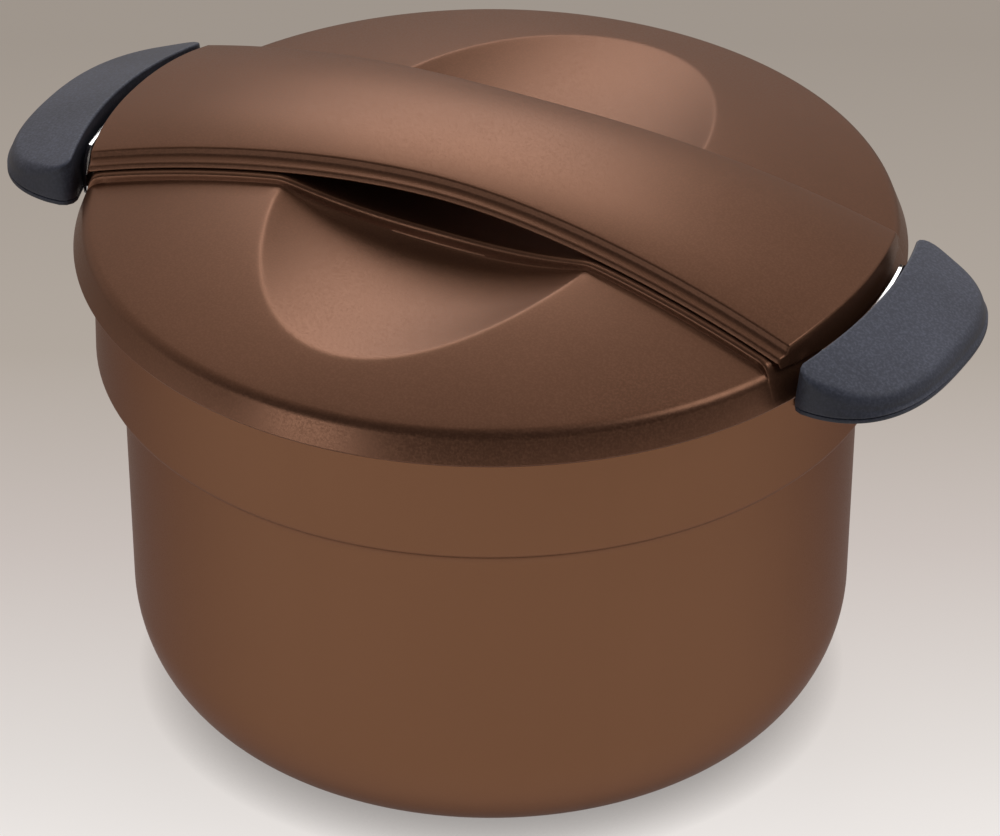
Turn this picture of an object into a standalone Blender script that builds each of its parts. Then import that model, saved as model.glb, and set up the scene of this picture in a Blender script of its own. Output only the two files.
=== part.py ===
"""Thermal cooker: a vacuum-walled container, its insulated lid, and the cooking pot
and glass pot lid that sit inside.  Metres, +Z up, origin on the floor under the
middle of the container.  The two carrying handles lie along X."""

import math

import bpy
import bmesh
from mathutils import Matrix

CLEAR = 0.0003            # air kept between two pieces that seat on each other
OVERRUN = 0.006           # how far a cutter runs past what it cuts
SHEET = 0.0008            # steel sheet of the shells and the pot
ROUND_STEPS = 40          # facets round a turned piece
SMALL_STEPS = 12          # facets round a knob, a boss or a screw

# The rim and the lip of the lid, from which the other places follow
LIP_R = 0.1400
RIM_Z = 0.1745

# Outer shell of the container
LIP_OVERHANG = 0.0067
STEP_IN = 0.0090
BODY_TAPER = 0.0020
COLLAR_ROUND = 0.0035
BODY_ROUND = 0.0080
CORNER_W = 0.0350
CORNER_H = 0.0415
SHELL_FOOT_Z = 0.0008
BASE_RECESS = 0.0036
BASE_RIM = 0.0021
SEAL_HOLE_R = 0.0030
SEAL_PAN_R = 0.0110
SEAL_PAN_DEPTH = 0.0020
COLLAR_R = LIP_R - LIP_OVERHANG
BODY_TOP_R = COLLAR_R - STEP_IN
BODY_LOW_R = BODY_TOP_R - BODY_TAPER
SHELL_BASE_Z = SHELL_FOOT_Z + BASE_RECESS

# Inner wall of the container
COLLAR_SPACE = 0.0058
VACUUM_SPACE = 0.0075
FLOOR_SPACE = 0.0116
CAVITY_CORNER = 0.0200
LEDGE_RISE = 0.0030
LEDGE_FALL = 0.0060
ROLL_DROP = 0.0032
FOIL_THICK = 0.0004
FOIL_MARGIN_LOW = 0.0320
FOIL_MARGIN_TOP = 0.0130
CAVITY_COLLAR_R = COLLAR_R - COLLAR_SPACE
CAVITY_R = BODY_TOP_R - VACUUM_SPACE
CAVITY_FLOOR_Z = SHELL_BASE_Z + FLOOR_SPACE

# Base of the container
BASE_COVER_INSET = 0.0403
BASE_COVER_THICK = 0.0020
FOOT_RING_INSET = 0.0080
FOOT_RING_WIDTH = 0.0080
FOOT_GROOVE_DEPTH = 0.0010
BASE_COVER_R = BODY_LOW_R - BASE_COVER_INSET
FOOT_RING_R = BASE_COVER_R - FOOT_RING_INSET

# Lid cover
LIP_LAP = 0.0046
LID_SHOULDER_RISE = 0.0113
LID_EDGE_RISE = 0.0083
LID_FLARE = 0.0028
LID_EDGE_ROUND = 0.0034
DOME_RISE = 0.0219
LID_WALL = 0.0025
WELL_DEPTH = 0.01544
WELL_CURVE_R = 0.1820
DECK_ARCH_RISE = 0.0006
DECK_ARCH_FALL = 0.0216
DECK_STEP = 0.0054
DECK_CURVE_R = 0.2400
DECK_WAIST = 0.0355
DECK_FLARE_SLOPE = 0.0885
DECK_KNEE = 0.0150
LID_EDGE_R = LIP_R - LID_FLARE
LID_SHOULDER_R = LID_EDGE_R - LID_EDGE_ROUND
LIP_Z = RIM_Z - LIP_LAP
LID_SHOULDER_Z = LIP_Z + LID_SHOULDER_RISE
LID_EDGE_Z = LIP_Z + LID_EDGE_RISE
DOME_TOP_Z = LID_SHOULDER_Z + DOME_RISE
WELL_FLOOR_Z = DOME_TOP_Z - WELL_DEPTH
DECK_ARCH_TOP_Z = DOME_TOP_Z + DECK_ARCH_RISE

# Bridge handle of the lid
BRIDGE_SETBACK = 0.0028
DECK_SETBACK = 0.0042
BRIDGE_LIFT = 0.0005      # groove between the deck and the lower edge of the bridge
BRIDGE_WAIST = 0.0301     # half width of the crown over the wells
BRIDGE_FLARE_SLOPE = 0.0960
BRIDGE_KNEE = 0.0300
BRIDGE_SHOULDER = 0.0033
BRIDGE_BEAD = 0.0013
BRIDGE_RISE = 0.0054
BRIDGE_CROWN = 0.0030
CROWN_GAIN = 0.0015       # how much fuller the crown is at the ends
CROWN_POWER = 2.4
BRIDGE_WALL = 0.0026
BOSS_SETBACK = 0.0372
BOSS_Y = 0.0200
BOSS_R = 0.0052
LID_SCREW_R = 0.0018
LID_SCREW_LENGTH = 0.0075
SCREW_HEAD_R = 0.0038
SCREW_HEAD_HEIGHT = 0.0018
BRIDGE_END_R = LIP_R - BRIDGE_SETBACK
DECK_END_R = BRIDGE_END_R - DECK_SETBACK
BOSS_X = BRIDGE_END_R - BOSS_SETBACK

# Liner and insulation of the lid
LINER_WALL = 0.0022
PLUG_SPACE = 0.0055
FLANGE_LAP = 0.0009
KNOB_WELL_R = 0.0270
KNOB_WELL_SPACE = 0.0055
FOAM_SPACE = 0.0039
FOAM_EDGE_FALL = 0.0053
FOAM_EDGE_INSET = 0.0050
LINER_PLUG_R = CAVITY_COLLAR_R - PLUG_SPACE
LINER_FLANGE_R = COLLAR_R + FLANGE_LAP
KNOB_WELL_TOP_Z = WELL_FLOOR_Z - KNOB_WELL_SPACE
FOAM_TOP_Z = WELL_FLOOR_Z - FOAM_SPACE
FOAM_EDGE_Z = FOAM_TOP_Z - FOAM_EDGE_FALL
FOAM_EDGE_R = LINER_PLUG_R - FOAM_EDGE_INSET

# Carrying handles
GRIP_SPACE = 0.0037
GRIP_INNER_HALF = 0.0464
GRIP_ROOT_STEP = 0.0037
GRIP_REACH = 0.0345
GRIP_HALF_WIDTH = 0.0485
GRIP_CORNER_POWER = 2.6
GRIP_DROP = 0.0007
GRIP_HEIGHT = 0.0173
GRIP_FALL = 0.0112        # how much lower the top is at the outer edge
GRIP_OUTER_ROUND = 0.0058
GRIP_ROUND_SHARE = 0.85   # of the height there, where the round would be higher
GRIP_INNER_ROUND = 0.0012
UNDER_COVER_THICK = 0.0015
BRACKET_SPACE = 0.0004
BRACKET_THICK = 0.0020
BRACKET_REACH = 0.0235
BRACKET_HALF_WIDTH = 0.0320
BRACKET_DROP = 0.0085
UPSTAND_THICK = 0.0012
UPSTAND_HALF_WIDTH = 0.0240
UPSTAND_RISE = 0.0126
HANDLE_SCREW_OUT = 0.0063
HANDLE_SCREW_Y = 0.0180
HANDLE_SCREW_R = 0.0020
HANDLE_SCREW_LENGTH = 0.0120
GRIP_INNER_R = LIP_R + GRIP_SPACE
GRIP_HALF_ANGLE = math.asin(GRIP_INNER_HALF / GRIP_INNER_R)
GRIP_ROOT_X = GRIP_INNER_R * math.cos(GRIP_HALF_ANGLE) + GRIP_ROOT_STEP
GRIP_BASE_Z = LIP_Z - GRIP_DROP
GRIP_TOP_Z = GRIP_BASE_Z + GRIP_HEIGHT
BRACKET_R = COLLAR_R + BRACKET_SPACE
HANDLE_SCREW_X = GRIP_INNER_R + HANDLE_SCREW_OUT

# Glass pot lid, whose knob reaches up into the liner's well
POT_SPACE = 0.0048
GLASS_INSET = 0.0052
KNOB_TOP_SPACE = 0.0009
GLASS_TOP_SPACE = 0.0014
GLASS_THICK = 0.0040
GLASS_LIFT = 0.0016
GLASS_RISE = 0.0070
BAND_WALL = 0.0010
BAND_SEAT = 0.0062
BAND_LAP = 0.0034
BAND_SKIRT = 0.0026
KNOB_R = 0.0200
KNOB_NECK_R = 0.0092
KNOB_HEIGHT = 0.0170
KNOB_HEAD_THICK = 0.0062
FERRULE_R = 0.0140
FERRULE_THICK = 0.0009
WASHER_R = 0.0085
WASHER_THICK = 0.0012
KNOB_SCREW_R = 0.0022
KNOB_SCREW_LENGTH = 0.0150
VENT_INSET = 0.0468
VENT_BORE = 0.0014
VENT_TUBE_R = 0.0034
VENT_FLANGE_R = 0.0056
VENT_FLANGE_THICK = 0.0010
POT_R = CAVITY_R - POT_SPACE
GLASS_R = POT_R - GLASS_INSET
VENT_X = GLASS_R - VENT_INSET
KNOB_TOP_Z = KNOB_WELL_TOP_Z - LINER_WALL - KNOB_TOP_SPACE
KNOB_FOOT_Z = KNOB_TOP_Z - KNOB_HEIGHT
GLASS_TOP_Z = KNOB_FOOT_Z - FERRULE_THICK - 2.0 * CLEAR
GLASS_EDGE_Z = GLASS_TOP_Z - GLASS_THICK - GLASS_RISE
LINER_PLUG_Z = GLASS_TOP_Z + GLASS_TOP_SPACE

# Cooking pot
POT_RIM_CURL = 0.0018
POT_CORNER = 0.0130
CORE_THICK = 0.0040
CAP_RISE = 0.0028
POT_FLAT_INSET = 0.0165
POT_TAB_SPACE = 0.0017
POT_TAB_HALF = 0.0326
POT_TAB_SINK = 0.0034
POT_TAB_HEIGHT = 0.0082
POT_PLATE_THICK = 0.0012
POT_PLATE_HALF = 0.0176
POT_PLATE_DROP = 0.0064
POT_SCREW_R = 0.0016
POT_SCREW_HEAD_R = 0.0030
POT_SCREW_HEAD_HEIGHT = 0.0014
POT_RIM_Z = GLASS_EDGE_Z - GLASS_LIFT
POT_FLAT_R = POT_R - POT_FLAT_INSET
POT_TAB_R = CAVITY_COLLAR_R - POT_TAB_SPACE
POT_TAB_TOP_Z = POT_RIM_Z - POT_TAB_SINK
POT_TAB_LOW_Z = POT_TAB_TOP_Z - POT_TAB_HEIGHT
POT_PLATE_LOW_Z = POT_TAB_LOW_Z - POT_PLATE_DROP

# Heights of the container, whose step lies under the pot's side handles
TAB_LEDGE_SPACE = 0.0014
LEDGE_TOP_Z = POT_TAB_LOW_Z - TAB_LEDGE_SPACE
LEDGE_LOW_Z = LEDGE_TOP_Z - LEDGE_FALL
COLLAR_BASE_Z = LEDGE_TOP_Z - LEDGE_RISE
FOIL_LOW_Z = CAVITY_FLOOR_Z + FOIL_MARGIN_LOW
FOIL_TOP_Z = LEDGE_LOW_Z - FOIL_MARGIN_TOP


# Scene, collections and materials

def clear_scene():
    for old in list(bpy.data.objects):
        bpy.data.objects.remove(old, do_unlink=True)


def new_collection(name):
    group = bpy.data.collections.new(name)
    bpy.context.scene.collection.children.link(group)
    return group


def finish_of(name, colour, roughness, metallic=0.0, transmission=0.0):
    material = bpy.data.materials.new(name)
    material.use_nodes = True
    shader = material.node_tree.nodes["Principled BSDF"]
    shader.inputs["Base Color"].default_value = (*colour, 1.0)
    shader.inputs["Roughness"].default_value = roughness
    shader.inputs["Metallic"].default_value = metallic
    shader.inputs["Transmission Weight"].default_value = transmission
    return material


clear_scene()
PARTS = new_collection("thermal_cooker")
CUTTERS = new_collection("cutters")

BROWN_PAINT = finish_of("brown_paint", (0.135, 0.066, 0.036), 0.42)
BROWN_PLASTIC = finish_of("brown_plastic", (0.150, 0.070, 0.040), 0.38)
DARK_PLASTIC = finish_of("dark_plastic", (0.070, 0.078, 0.092), 0.55)
BLACK_PLASTIC = finish_of("black_phenolic", (0.012, 0.012, 0.012), 0.45)
LINER_PLASTIC = finish_of("liner_plastic", (0.110, 0.100, 0.090), 0.50)
STEEL = finish_of("brushed_steel", (0.620, 0.610, 0.590), 0.28, 1.0)
BRIGHT_STEEL = finish_of("bright_steel", (0.720, 0.720, 0.720), 0.12, 1.0)
ALUMINIUM = finish_of("aluminium", (0.700, 0.700, 0.710), 0.35, 1.0)
COPPER_FOIL = finish_of("copper_foil", (0.800, 0.420, 0.270), 0.25, 1.0)
FOAM = finish_of("foam", (0.850, 0.820, 0.740), 0.90)
RUBBER = finish_of("rubber", (0.020, 0.020, 0.020), 0.80)
SILICONE = finish_of("silicone", (0.600, 0.600, 0.580), 0.60)
GLASS = finish_of("tempered_glass", (0.900, 0.950, 0.930), 0.03, 0.0, 1.0)


# Shape helpers

def add_object(name, data, material, group):
    piece = bpy.data.objects.new(name, data)
    group.objects.link(piece)
    if material is not None:
        piece.data.materials.append(material)
    if group is CUTTERS:
        piece.hide_render = True
        piece.display_type = 'WIRE'
    return piece


def turned(name, profile, material=None, closed=True, wall=0.0, group=None,
           steps=ROUND_STEPS, centre=(0.0, 0.0)):
    """Turn a profile of (radius, height) points about Z; an open one becomes a sheet."""
    mesh = bpy.data.meshes.new(name)
    points = [(r, 0.0, z) for r, z in profile]
    edges = [(i, i + 1) for i in range(len(points) - 1)]
    if closed:
        edges.append((len(points) - 1, 0))
    mesh.from_pydata(points, edges, [])
    piece = add_object(name, mesh, material, group or PARTS)
    piece.location = (centre[0], centre[1], 0.0)
    screw = piece.modifiers.new("turn", 'SCREW')
    screw.axis = 'Z'
    screw.steps = steps
    screw.render_steps = steps
    screw.use_merge_vertices = True
    screw.merge_threshold = 0.00001
    screw.use_smooth_shade = True
    if wall:
        shell = piece.modifiers.new("wall", 'SOLIDIFY')
        shell.thickness = wall
        shell.offset = -1.0
        shell.use_even_offset = True
    return piece


def evaluated_copy(piece):
    """A plain mesh of what the viewport shows, in world space."""
    depsgraph = bpy.context.evaluated_depsgraph_get()
    mesh = bpy.data.meshes.new_from_object(piece.evaluated_get(depsgraph))
    mesh.transform(piece.matrix_world)
    return mesh


def plate(name, outline, low, high, material=None, group=None, upright=False):
    """A flat outline given thickness: along Z, or along Y when it stands upright."""
    curve = bpy.data.curves.new(name, 'CURVE')
    curve.dimensions = '2D'
    curve.fill_mode = 'BOTH'
    curve.extrude = (high - low) / 2.0
    line = curve.splines.new('POLY')
    line.points.add(len(outline) - 1)
    for point, (u, v) in zip(line.points, outline):
        point.co = (u, v, 0.0, 1.0)
    line.use_cyclic_u = True
    sketch = bpy.data.objects.new(name + "_sketch", curve)
    CUTTERS.objects.link(sketch)
    middle = (low + high) / 2.0
    if upright:
        sketch.rotation_euler = (math.radians(90.0), 0.0, 0.0)
        sketch.location = (0.0, middle, 0.0)
    else:
        sketch.location = (0.0, 0.0, middle)
    bpy.context.view_layer.update()
    mesh = evaluated_copy(sketch)
    bpy.data.objects.remove(sketch, do_unlink=True)
    weld = bmesh.new()
    weld.from_mesh(mesh)
    bmesh.ops.remove_doubles(weld, verts=weld.verts, dist=0.00001)
    bmesh.ops.recalc_face_normals(weld, faces=weld.faces)
    weld.to_mesh(mesh)
    weld.free()
    mesh.name = name
    return add_object(name, mesh, material, group or PARTS)


def rods(name, places, radius, low, high, material=None, group=None, steps=SMALL_STEPS):
    """Upright cylinders of one size at the given places, as one object."""
    mesh = bmesh.new()
    for x, y in places:
        bmesh.ops.create_cone(mesh, cap_ends=True, segments=steps, radius1=radius,
                              radius2=radius, depth=high - low,
                              matrix=Matrix.Translation((x, y, (low + high) / 2.0)))
    data = bpy.data.meshes.new(name)
    mesh.to_mesh(data)
    mesh.free()
    return add_object(name, data, material, group or PARTS)


def screw(name, place, radius, head_top, length):
    """A screw that points up, its head below."""
    tip = head_top + length
    low = head_top - SCREW_HEAD_HEIGHT
    return turned(name, [(0.0, tip), (radius, tip), (radius, head_top),
                         (SCREW_HEAD_R, head_top), (SCREW_HEAD_R, low), (0.0, low)],
                  STEEL, False, 0.0, None, SMALL_STEPS, place)


def combine(piece, other, operation):
    step = piece.modifiers.new(operation.lower() + "_" + other.name, 'BOOLEAN')
    step.object = other
    step.operation = operation
    step.solver = 'EXACT'


def cut(piece, other):
    combine(piece, other, 'DIFFERENCE')


def join(piece, other):
    combine(piece, other, 'UNION')


def keep(piece, other):
    combine(piece, other, 'INTERSECT')


def loft(name, stations, material=None, group=None):
    """A closed body through sections that have the same number of points."""
    mesh = bmesh.new()
    rings = [[mesh.verts.new(point) for point in section] for section in stations]
    count = len(rings[0])
    for near, far in zip(rings, rings[1:]):
        for i in range(count):
            j = (i + 1) % count
            mesh.faces.new((near[i], near[j], far[j], far[i]))
    mesh.faces.new(list(reversed(rings[0])))
    mesh.faces.new(rings[-1])
    bmesh.ops.recalc_face_normals(mesh, faces=mesh.faces)
    data = bpy.data.meshes.new(name)
    mesh.to_mesh(data)
    mesh.free()
    return add_object(name, data, material, group or PARTS)


def arc(centre_r, centre_z, width, height, start, end, count):
    """Points of an elliptic arc in a profile, angles in degrees from +radius."""
    points = []
    for i in range(count + 1):
        angle = math.radians(start + (end - start) * i / count)
        points.append((centre_r + width * math.cos(angle),
                       centre_z + height * math.sin(angle)))
    return points


# Container

def step_sweep():
    """Angle through which the collar's two rounds turn to reach the body."""
    return math.acos(1.0 - (COLLAR_R - BODY_TOP_R) / (COLLAR_ROUND + BODY_ROUND))


def outer_shell():
    sweep = math.degrees(step_sweep())
    low_z = COLLAR_BASE_Z - (COLLAR_ROUND + BODY_ROUND) * math.sin(step_sweep())
    profile = [(COLLAR_R, RIM_Z - SHEET - CLEAR)]
    profile += arc(COLLAR_R - COLLAR_ROUND, COLLAR_BASE_Z, COLLAR_ROUND, COLLAR_ROUND,
                   0.0, -sweep, 2)
    profile += arc(BODY_TOP_R + BODY_ROUND, low_z, BODY_ROUND, BODY_ROUND,
                   180.0 - sweep, 180.0, 2)[1:]
    profile += arc(BODY_LOW_R - CORNER_W, SHELL_FOOT_Z + CORNER_H, CORNER_W, CORNER_H,
                   0.0, -90.0, 6)
    rim_r = BODY_LOW_R - CORNER_W - BASE_RIM
    profile += [(rim_r, SHELL_FOOT_Z), (rim_r - SHEET, SHELL_BASE_Z),
                (SEAL_PAN_R + SEAL_PAN_DEPTH, SHELL_BASE_Z),
                (SEAL_PAN_R, SHELL_BASE_Z + SEAL_PAN_DEPTH),
                (SEAL_HOLE_R, SHELL_BASE_Z + SEAL_PAN_DEPTH)]
    return turned("outer_shell", profile, BROWN_PAINT, False, SHEET)


def inner_wall():
    """Cavity side of the inner wall, from the floor up, over the rim and down outside."""
    roll_r = COLLAR_R + CLEAR + SHEET
    profile = [(0.0, CAVITY_FLOOR_Z)]
    profile += arc(CAVITY_R - CAVITY_CORNER, CAVITY_FLOOR_Z + CAVITY_CORNER,
                   CAVITY_CORNER, CAVITY_CORNER, -90.0, 0.0, 4)
    profile += [(CAVITY_R, LEDGE_LOW_Z), (CAVITY_COLLAR_R, LEDGE_TOP_Z),
                (CAVITY_COLLAR_R, RIM_Z - SHEET), (CAVITY_COLLAR_R + SHEET, RIM_Z),
                (roll_r - SHEET / 2.0, RIM_Z), (roll_r, RIM_Z - SHEET / 2.0),
                (roll_r, RIM_Z - ROLL_DROP)]
    return turned("inner_wall", profile, STEEL, False, SHEET)


def foil_wrap():
    inner = CAVITY_R + SHEET + CLEAR
    profile = [(inner + FOIL_THICK, FOIL_TOP_Z), (inner + FOIL_THICK, FOIL_LOW_Z),
               (inner, FOIL_LOW_Z), (inner, FOIL_TOP_Z)]
    return turned("foil_wrap", profile, COPPER_FOIL)


def seal_plug():
    top = SHELL_BASE_Z + SEAL_PAN_DEPTH - CLEAR
    radius = SEAL_PAN_R - SEAL_PAN_DEPTH
    profile = [(0.0, top), (radius, top), (radius, top - SHEET), (radius - SHEET, top - 2.0 * SHEET),
               (0.0, top - 2.0 * SHEET)]
    return turned("seal_plug", profile, STEEL, False, 0.0, None, SMALL_STEPS)


def base_cover():
    top = SHELL_BASE_Z - CLEAR
    low = top - BASE_COVER_THICK
    groove_in = FOOT_RING_R - FOOT_RING_WIDTH - CLEAR
    groove_out = FOOT_RING_R + CLEAR
    groove_top = low + FOOT_GROOVE_DEPTH
    profile = [(0.0, top), (BASE_COVER_R - SHEET, top), (BASE_COVER_R, top - SHEET),
               (BASE_COVER_R, low), (groove_out, low), (groove_out, groove_top),
               (groove_in, groove_top), (groove_in, low), (0.0, low)]
    return turned("base_cover", profile, DARK_PLASTIC, False)


def foot_ring():
    top = SHELL_BASE_Z - CLEAR - BASE_COVER_THICK + FOOT_GROOVE_DEPTH - CLEAR
    inner = FOOT_RING_R - FOOT_RING_WIDTH
    profile = [(FOOT_RING_R, top), (FOOT_RING_R, 0.0), (inner, 0.0), (inner, top)]
    return turned("foot_ring", profile, RUBBER)


# Carrying handles, made on +X and turned half round for the other side

def grip_outline():
    """Plan of a grip: hollow inner edge round the lid, full outer edge."""
    points = []
    count = 10
    for i in range(count + 1):
        angle = GRIP_HALF_ANGLE * (1.0 - 2.0 * i / count)
        points.append((GRIP_INNER_R * math.cos(angle), GRIP_INNER_R * math.sin(angle)))
    count = 18
    for i in range(count + 1):
        angle = math.radians(-90.0 + 180.0 * i / count)
        share = 2.0 / GRIP_CORNER_POWER
        across = abs(math.sin(angle)) ** share * math.copysign(1.0, math.sin(angle))
        points.append((GRIP_ROOT_X + GRIP_REACH * max(math.cos(angle), 0.0) ** share,
                       GRIP_HALF_WIDTH * across))
    return points


def handle_grip(side):
    """Solid wing: its outline rises, then draws in over a full outer and a tight inner edge."""
    outline = grip_outline()
    low = GRIP_BASE_Z + UNDER_COVER_THICK + CLEAR
    inner_x = GRIP_INNER_R * math.cos(GRIP_HALF_ANGLE)
    slope = GRIP_FALL / (GRIP_ROOT_X + GRIP_REACH - inner_x)
    places = []
    for i, (x, y) in enumerate(outline):
        before, after = outline[i - 1], outline[(i + 1) % len(outline)]
        across = (after[1] - before[1], before[0] - after[0])
        length = math.hypot(*across)
        inward = (-across[0] / length, -across[1] / length)
        share = min(max((math.hypot(x, y) - GRIP_INNER_R) / GRIP_OUTER_ROUND, 0.0), 1.0)
        edge = GRIP_INNER_ROUND + (GRIP_OUTER_ROUND - GRIP_INNER_ROUND) * share
        top = GRIP_TOP_Z - slope * (x - inner_x)
        drop = min(edge, GRIP_ROUND_SHARE * (top - low))
        places.append((x, y, inward, edge, drop, top))
    rings = [[(x, y, low) for x, y, inward, edge, drop, top in places]]
    count = 3
    for k in range(count + 1):
        turn = math.radians(90.0 * k / count)
        rings.append([(x + inward[0] * edge * (1.0 - math.cos(turn)),
                       y + inward[1] * edge * (1.0 - math.cos(turn)),
                       top - drop * (1.0 - math.sin(turn)))
                      for x, y, inward, edge, drop, top in places])
    return loft("handle_grip_" + side, rings, DARK_PLASTIC)


def handle_side(side, angle):
    """Bracket, grip, under cover and two screws of one carrying handle."""
    turn = math.radians(angle)
    grip = handle_grip(side)
    cover = plate("handle_under_cover_" + side, grip_outline(), GRIP_BASE_Z,
                  GRIP_BASE_Z + UNDER_COVER_THICK, DARK_PLASTIC)
    bracket_top = GRIP_BASE_Z - CLEAR
    bracket_low = bracket_top - BRACKET_THICK
    reach = BRACKET_R + BRACKET_REACH
    steps = ROUND_STEPS
    ring = [(reach, bracket_top), (reach, bracket_low), (BRACKET_R + BRACKET_THICK, bracket_low),
            (BRACKET_R + BRACKET_THICK, bracket_top - BRACKET_DROP),
            (BRACKET_R, bracket_top - BRACKET_DROP), (BRACKET_R, bracket_top)]
    bracket = turned("handle_bracket_" + side, ring, BRIGHT_STEEL, True, 0.0, None, steps)
    stand_r = GRIP_INNER_R - CLEAR
    stand_top = bracket_top + UPSTAND_RISE
    stand_low = bracket_low + BRACKET_THICK / 2.0
    stand = [(stand_r, stand_top), (stand_r, stand_low), (stand_r - UPSTAND_THICK, stand_low),
             (stand_r - UPSTAND_THICK, stand_top)]
    upstand = turned("bracket_upstand_" + side, stand, None, True, 0.0, CUTTERS, steps)
    windows = []
    for name, half in (("bracket_window_", BRACKET_HALF_WIDTH), ("upstand_window_", UPSTAND_HALF_WIDTH)):
        inner_x = BRACKET_R / 2.0
        windows.append(plate(name + side, [(inner_x, -half), (reach + OVERRUN, -half),
                                           (reach + OVERRUN, half), (inner_x, half)],
                             bracket_top - BRACKET_DROP - OVERRUN, stand_top + OVERRUN,
                             None, CUTTERS))
    keep(bracket, windows[0])
    keep(upstand, windows[1])
    join(bracket, upstand)
    head_top = bracket_low - CLEAR
    places = [(HANDLE_SCREW_X, -HANDLE_SCREW_Y), (HANDLE_SCREW_X, HANDLE_SCREW_Y)]
    holes = rods("handle_screw_holes_" + side, places, HANDLE_SCREW_R + CLEAR,
                 head_top - OVERRUN, head_top + HANDLE_SCREW_LENGTH + CLEAR, None, CUTTERS)
    for target in (grip, cover, bracket):
        cut(target, holes)
    pieces = [grip, cover, bracket, upstand, holes] + windows
    for label, place in zip("ab", places):
        pieces.append(screw("handle_screw_" + side + "_" + label, place, HANDLE_SCREW_R,
                            head_top, HANDLE_SCREW_LENGTH))
    for piece in pieces:
        x, y = piece.location.x, piece.location.y
        piece.rotation_euler = (0.0, 0.0, turn)
        piece.location.x = x * math.cos(turn) - y * math.sin(turn)
        piece.location.y = x * math.sin(turn) + y * math.cos(turn)


# Lid

def dome_z(radius):
    """Height of the dome, which falls from its top to the shoulder as a parabola."""
    fall = (DOME_TOP_Z - LID_SHOULDER_Z) / LID_SHOULDER_R ** 2
    return DOME_TOP_Z - fall * radius ** 2


def well_z(x):
    return WELL_FLOOR_Z + WELL_CURVE_R - math.sqrt(WELL_CURVE_R ** 2 - x ** 2)


def arch_z(x):
    """Circular arch that falls by the given height at the end of the deck."""
    radius = (DECK_END_R ** 2 + DECK_ARCH_FALL ** 2) / (2.0 * DECK_ARCH_FALL)
    return DECK_ARCH_TOP_Z - radius + math.sqrt(radius ** 2 - x ** 2)


def deck_z(x):
    """Top of the raised deck: it follows the dome outside the wells, the floor inside."""
    inside = WELL_FLOOR_Z + DECK_STEP + DECK_CURVE_R - math.sqrt(DECK_CURVE_R ** 2 - x ** 2)
    return min(arch_z(x), inside)


def bridge_edge_z(x):
    return arch_z(x) + BRIDGE_LIFT


def waist(x, narrow, slope, knee):
    """Half width of the deck or the bridge, which grows from the middle to the ends."""
    return narrow + slope * (math.hypot(x, knee) - knee)


def stations_along(half_length, count):
    return [half_length * (2.0 * i / count - 1.0) for i in range(count + 1)]


def lid_body(name, inset, group, material=None):
    """Dome with its wells and deck as a solid, drawn in by a wall thickness."""
    low = LIP_Z - (OVERRUN if inset else 0.0)
    count = 6
    profile = []
    for i in range(count + 1):
        radius = LID_SHOULDER_R * i / count
        profile.append((max(radius - inset * i / count, 0.0), dome_z(radius) - inset))
    profile += [(LID_EDGE_R - inset, LID_EDGE_Z - inset / 3.0), (LIP_R - inset, LIP_Z)]
    if inset:
        profile.append((LIP_R - inset, low))
    profile.append((0.0, low))
    body = turned(name, profile, material, False, 0.0, group)
    span = LIP_R + OVERRUN
    half = WELL_CURVE_R / 2.0
    curve = [(x, WELL_FLOOR_Z - inset + WELL_CURVE_R - math.sqrt((WELL_CURVE_R) ** 2 - x ** 2))
             for x in stations_along(half, 20)]
    top = DOME_TOP_Z + OVERRUN
    well = plate(name + "_well", curve + [(half, top + half), (-half, top + half)],
                 -span, span, None, CUTTERS, True)
    cut(body, well)
    widest = waist(DECK_END_R + OVERRUN, DECK_WAIST, DECK_FLARE_SLOPE, DECK_KNEE)
    deck_side = [(x, deck_z(x) - inset) for x in stations_along(DECK_END_R - inset, 26)]
    side = plate(name + "_deck", deck_side + [(DECK_END_R - inset, LIP_Z + OVERRUN),
                                              (inset - DECK_END_R, LIP_Z + OVERRUN)],
                 -widest - OVERRUN, widest + OVERRUN, None, CUTTERS, True)
    plan = []
    for x in stations_along(DECK_END_R + OVERRUN, 20):
        plan.append((x, waist(x, DECK_WAIST, DECK_FLARE_SLOPE, DECK_KNEE) - inset))
    plan += [(x, -y) for x, y in reversed(plan)]
    plan_body = plate(name + "_deck_plan", plan, low, top + OVERRUN, None, CUTTERS)
    round_end = rods(name + "_deck_end", [(0.0, 0.0)], DECK_END_R - inset, low, top + OVERRUN,
                     None, CUTTERS, ROUND_STEPS)
    keep(side, plan_body)
    keep(side, round_end)
    join(body, side)
    return body


def lid_cover():
    cover = lid_body("lid_cover", 0.0, PARTS, BROWN_PLASTIC)
    hollow = lid_body("lid_hollow", LID_WALL, CUTTERS)
    cut(cover, hollow)
    return cover


def bridge_section(x, inset, low):
    """Half sections of the bridge: bead, steep shoulder, crown; mirrored to a loop."""
    shoulder = waist(x, BRIDGE_WAIST, BRIDGE_FLARE_SLOPE, BRIDGE_KNEE) - inset
    half = shoulder + BRIDGE_SHOULDER
    edge = bridge_edge_z(x)
    top = edge + BRIDGE_RISE - inset
    crown = BRIDGE_CROWN + CROWN_GAIN * (x / BRIDGE_END_R) ** 2
    points = [(half, low), (half, edge + BRIDGE_BEAD / 2.0 - inset),
              (half - BRIDGE_BEAD / 2.0, edge + BRIDGE_BEAD - inset),
              (half - BRIDGE_BEAD * 1.3, edge + BRIDGE_BEAD * 1.1 - inset),
              (shoulder, top)]
    count = 4
    for i in range(1, count + 1):
        share = 1.0 - i / count
        points.append((shoulder * share, top + crown * (1.0 - share ** CROWN_POWER)))
    loop = [(x, y, z) for y, z in points]
    loop += [(x, -y, z) for y, z in reversed(points[:-1])]
    return loop


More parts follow.
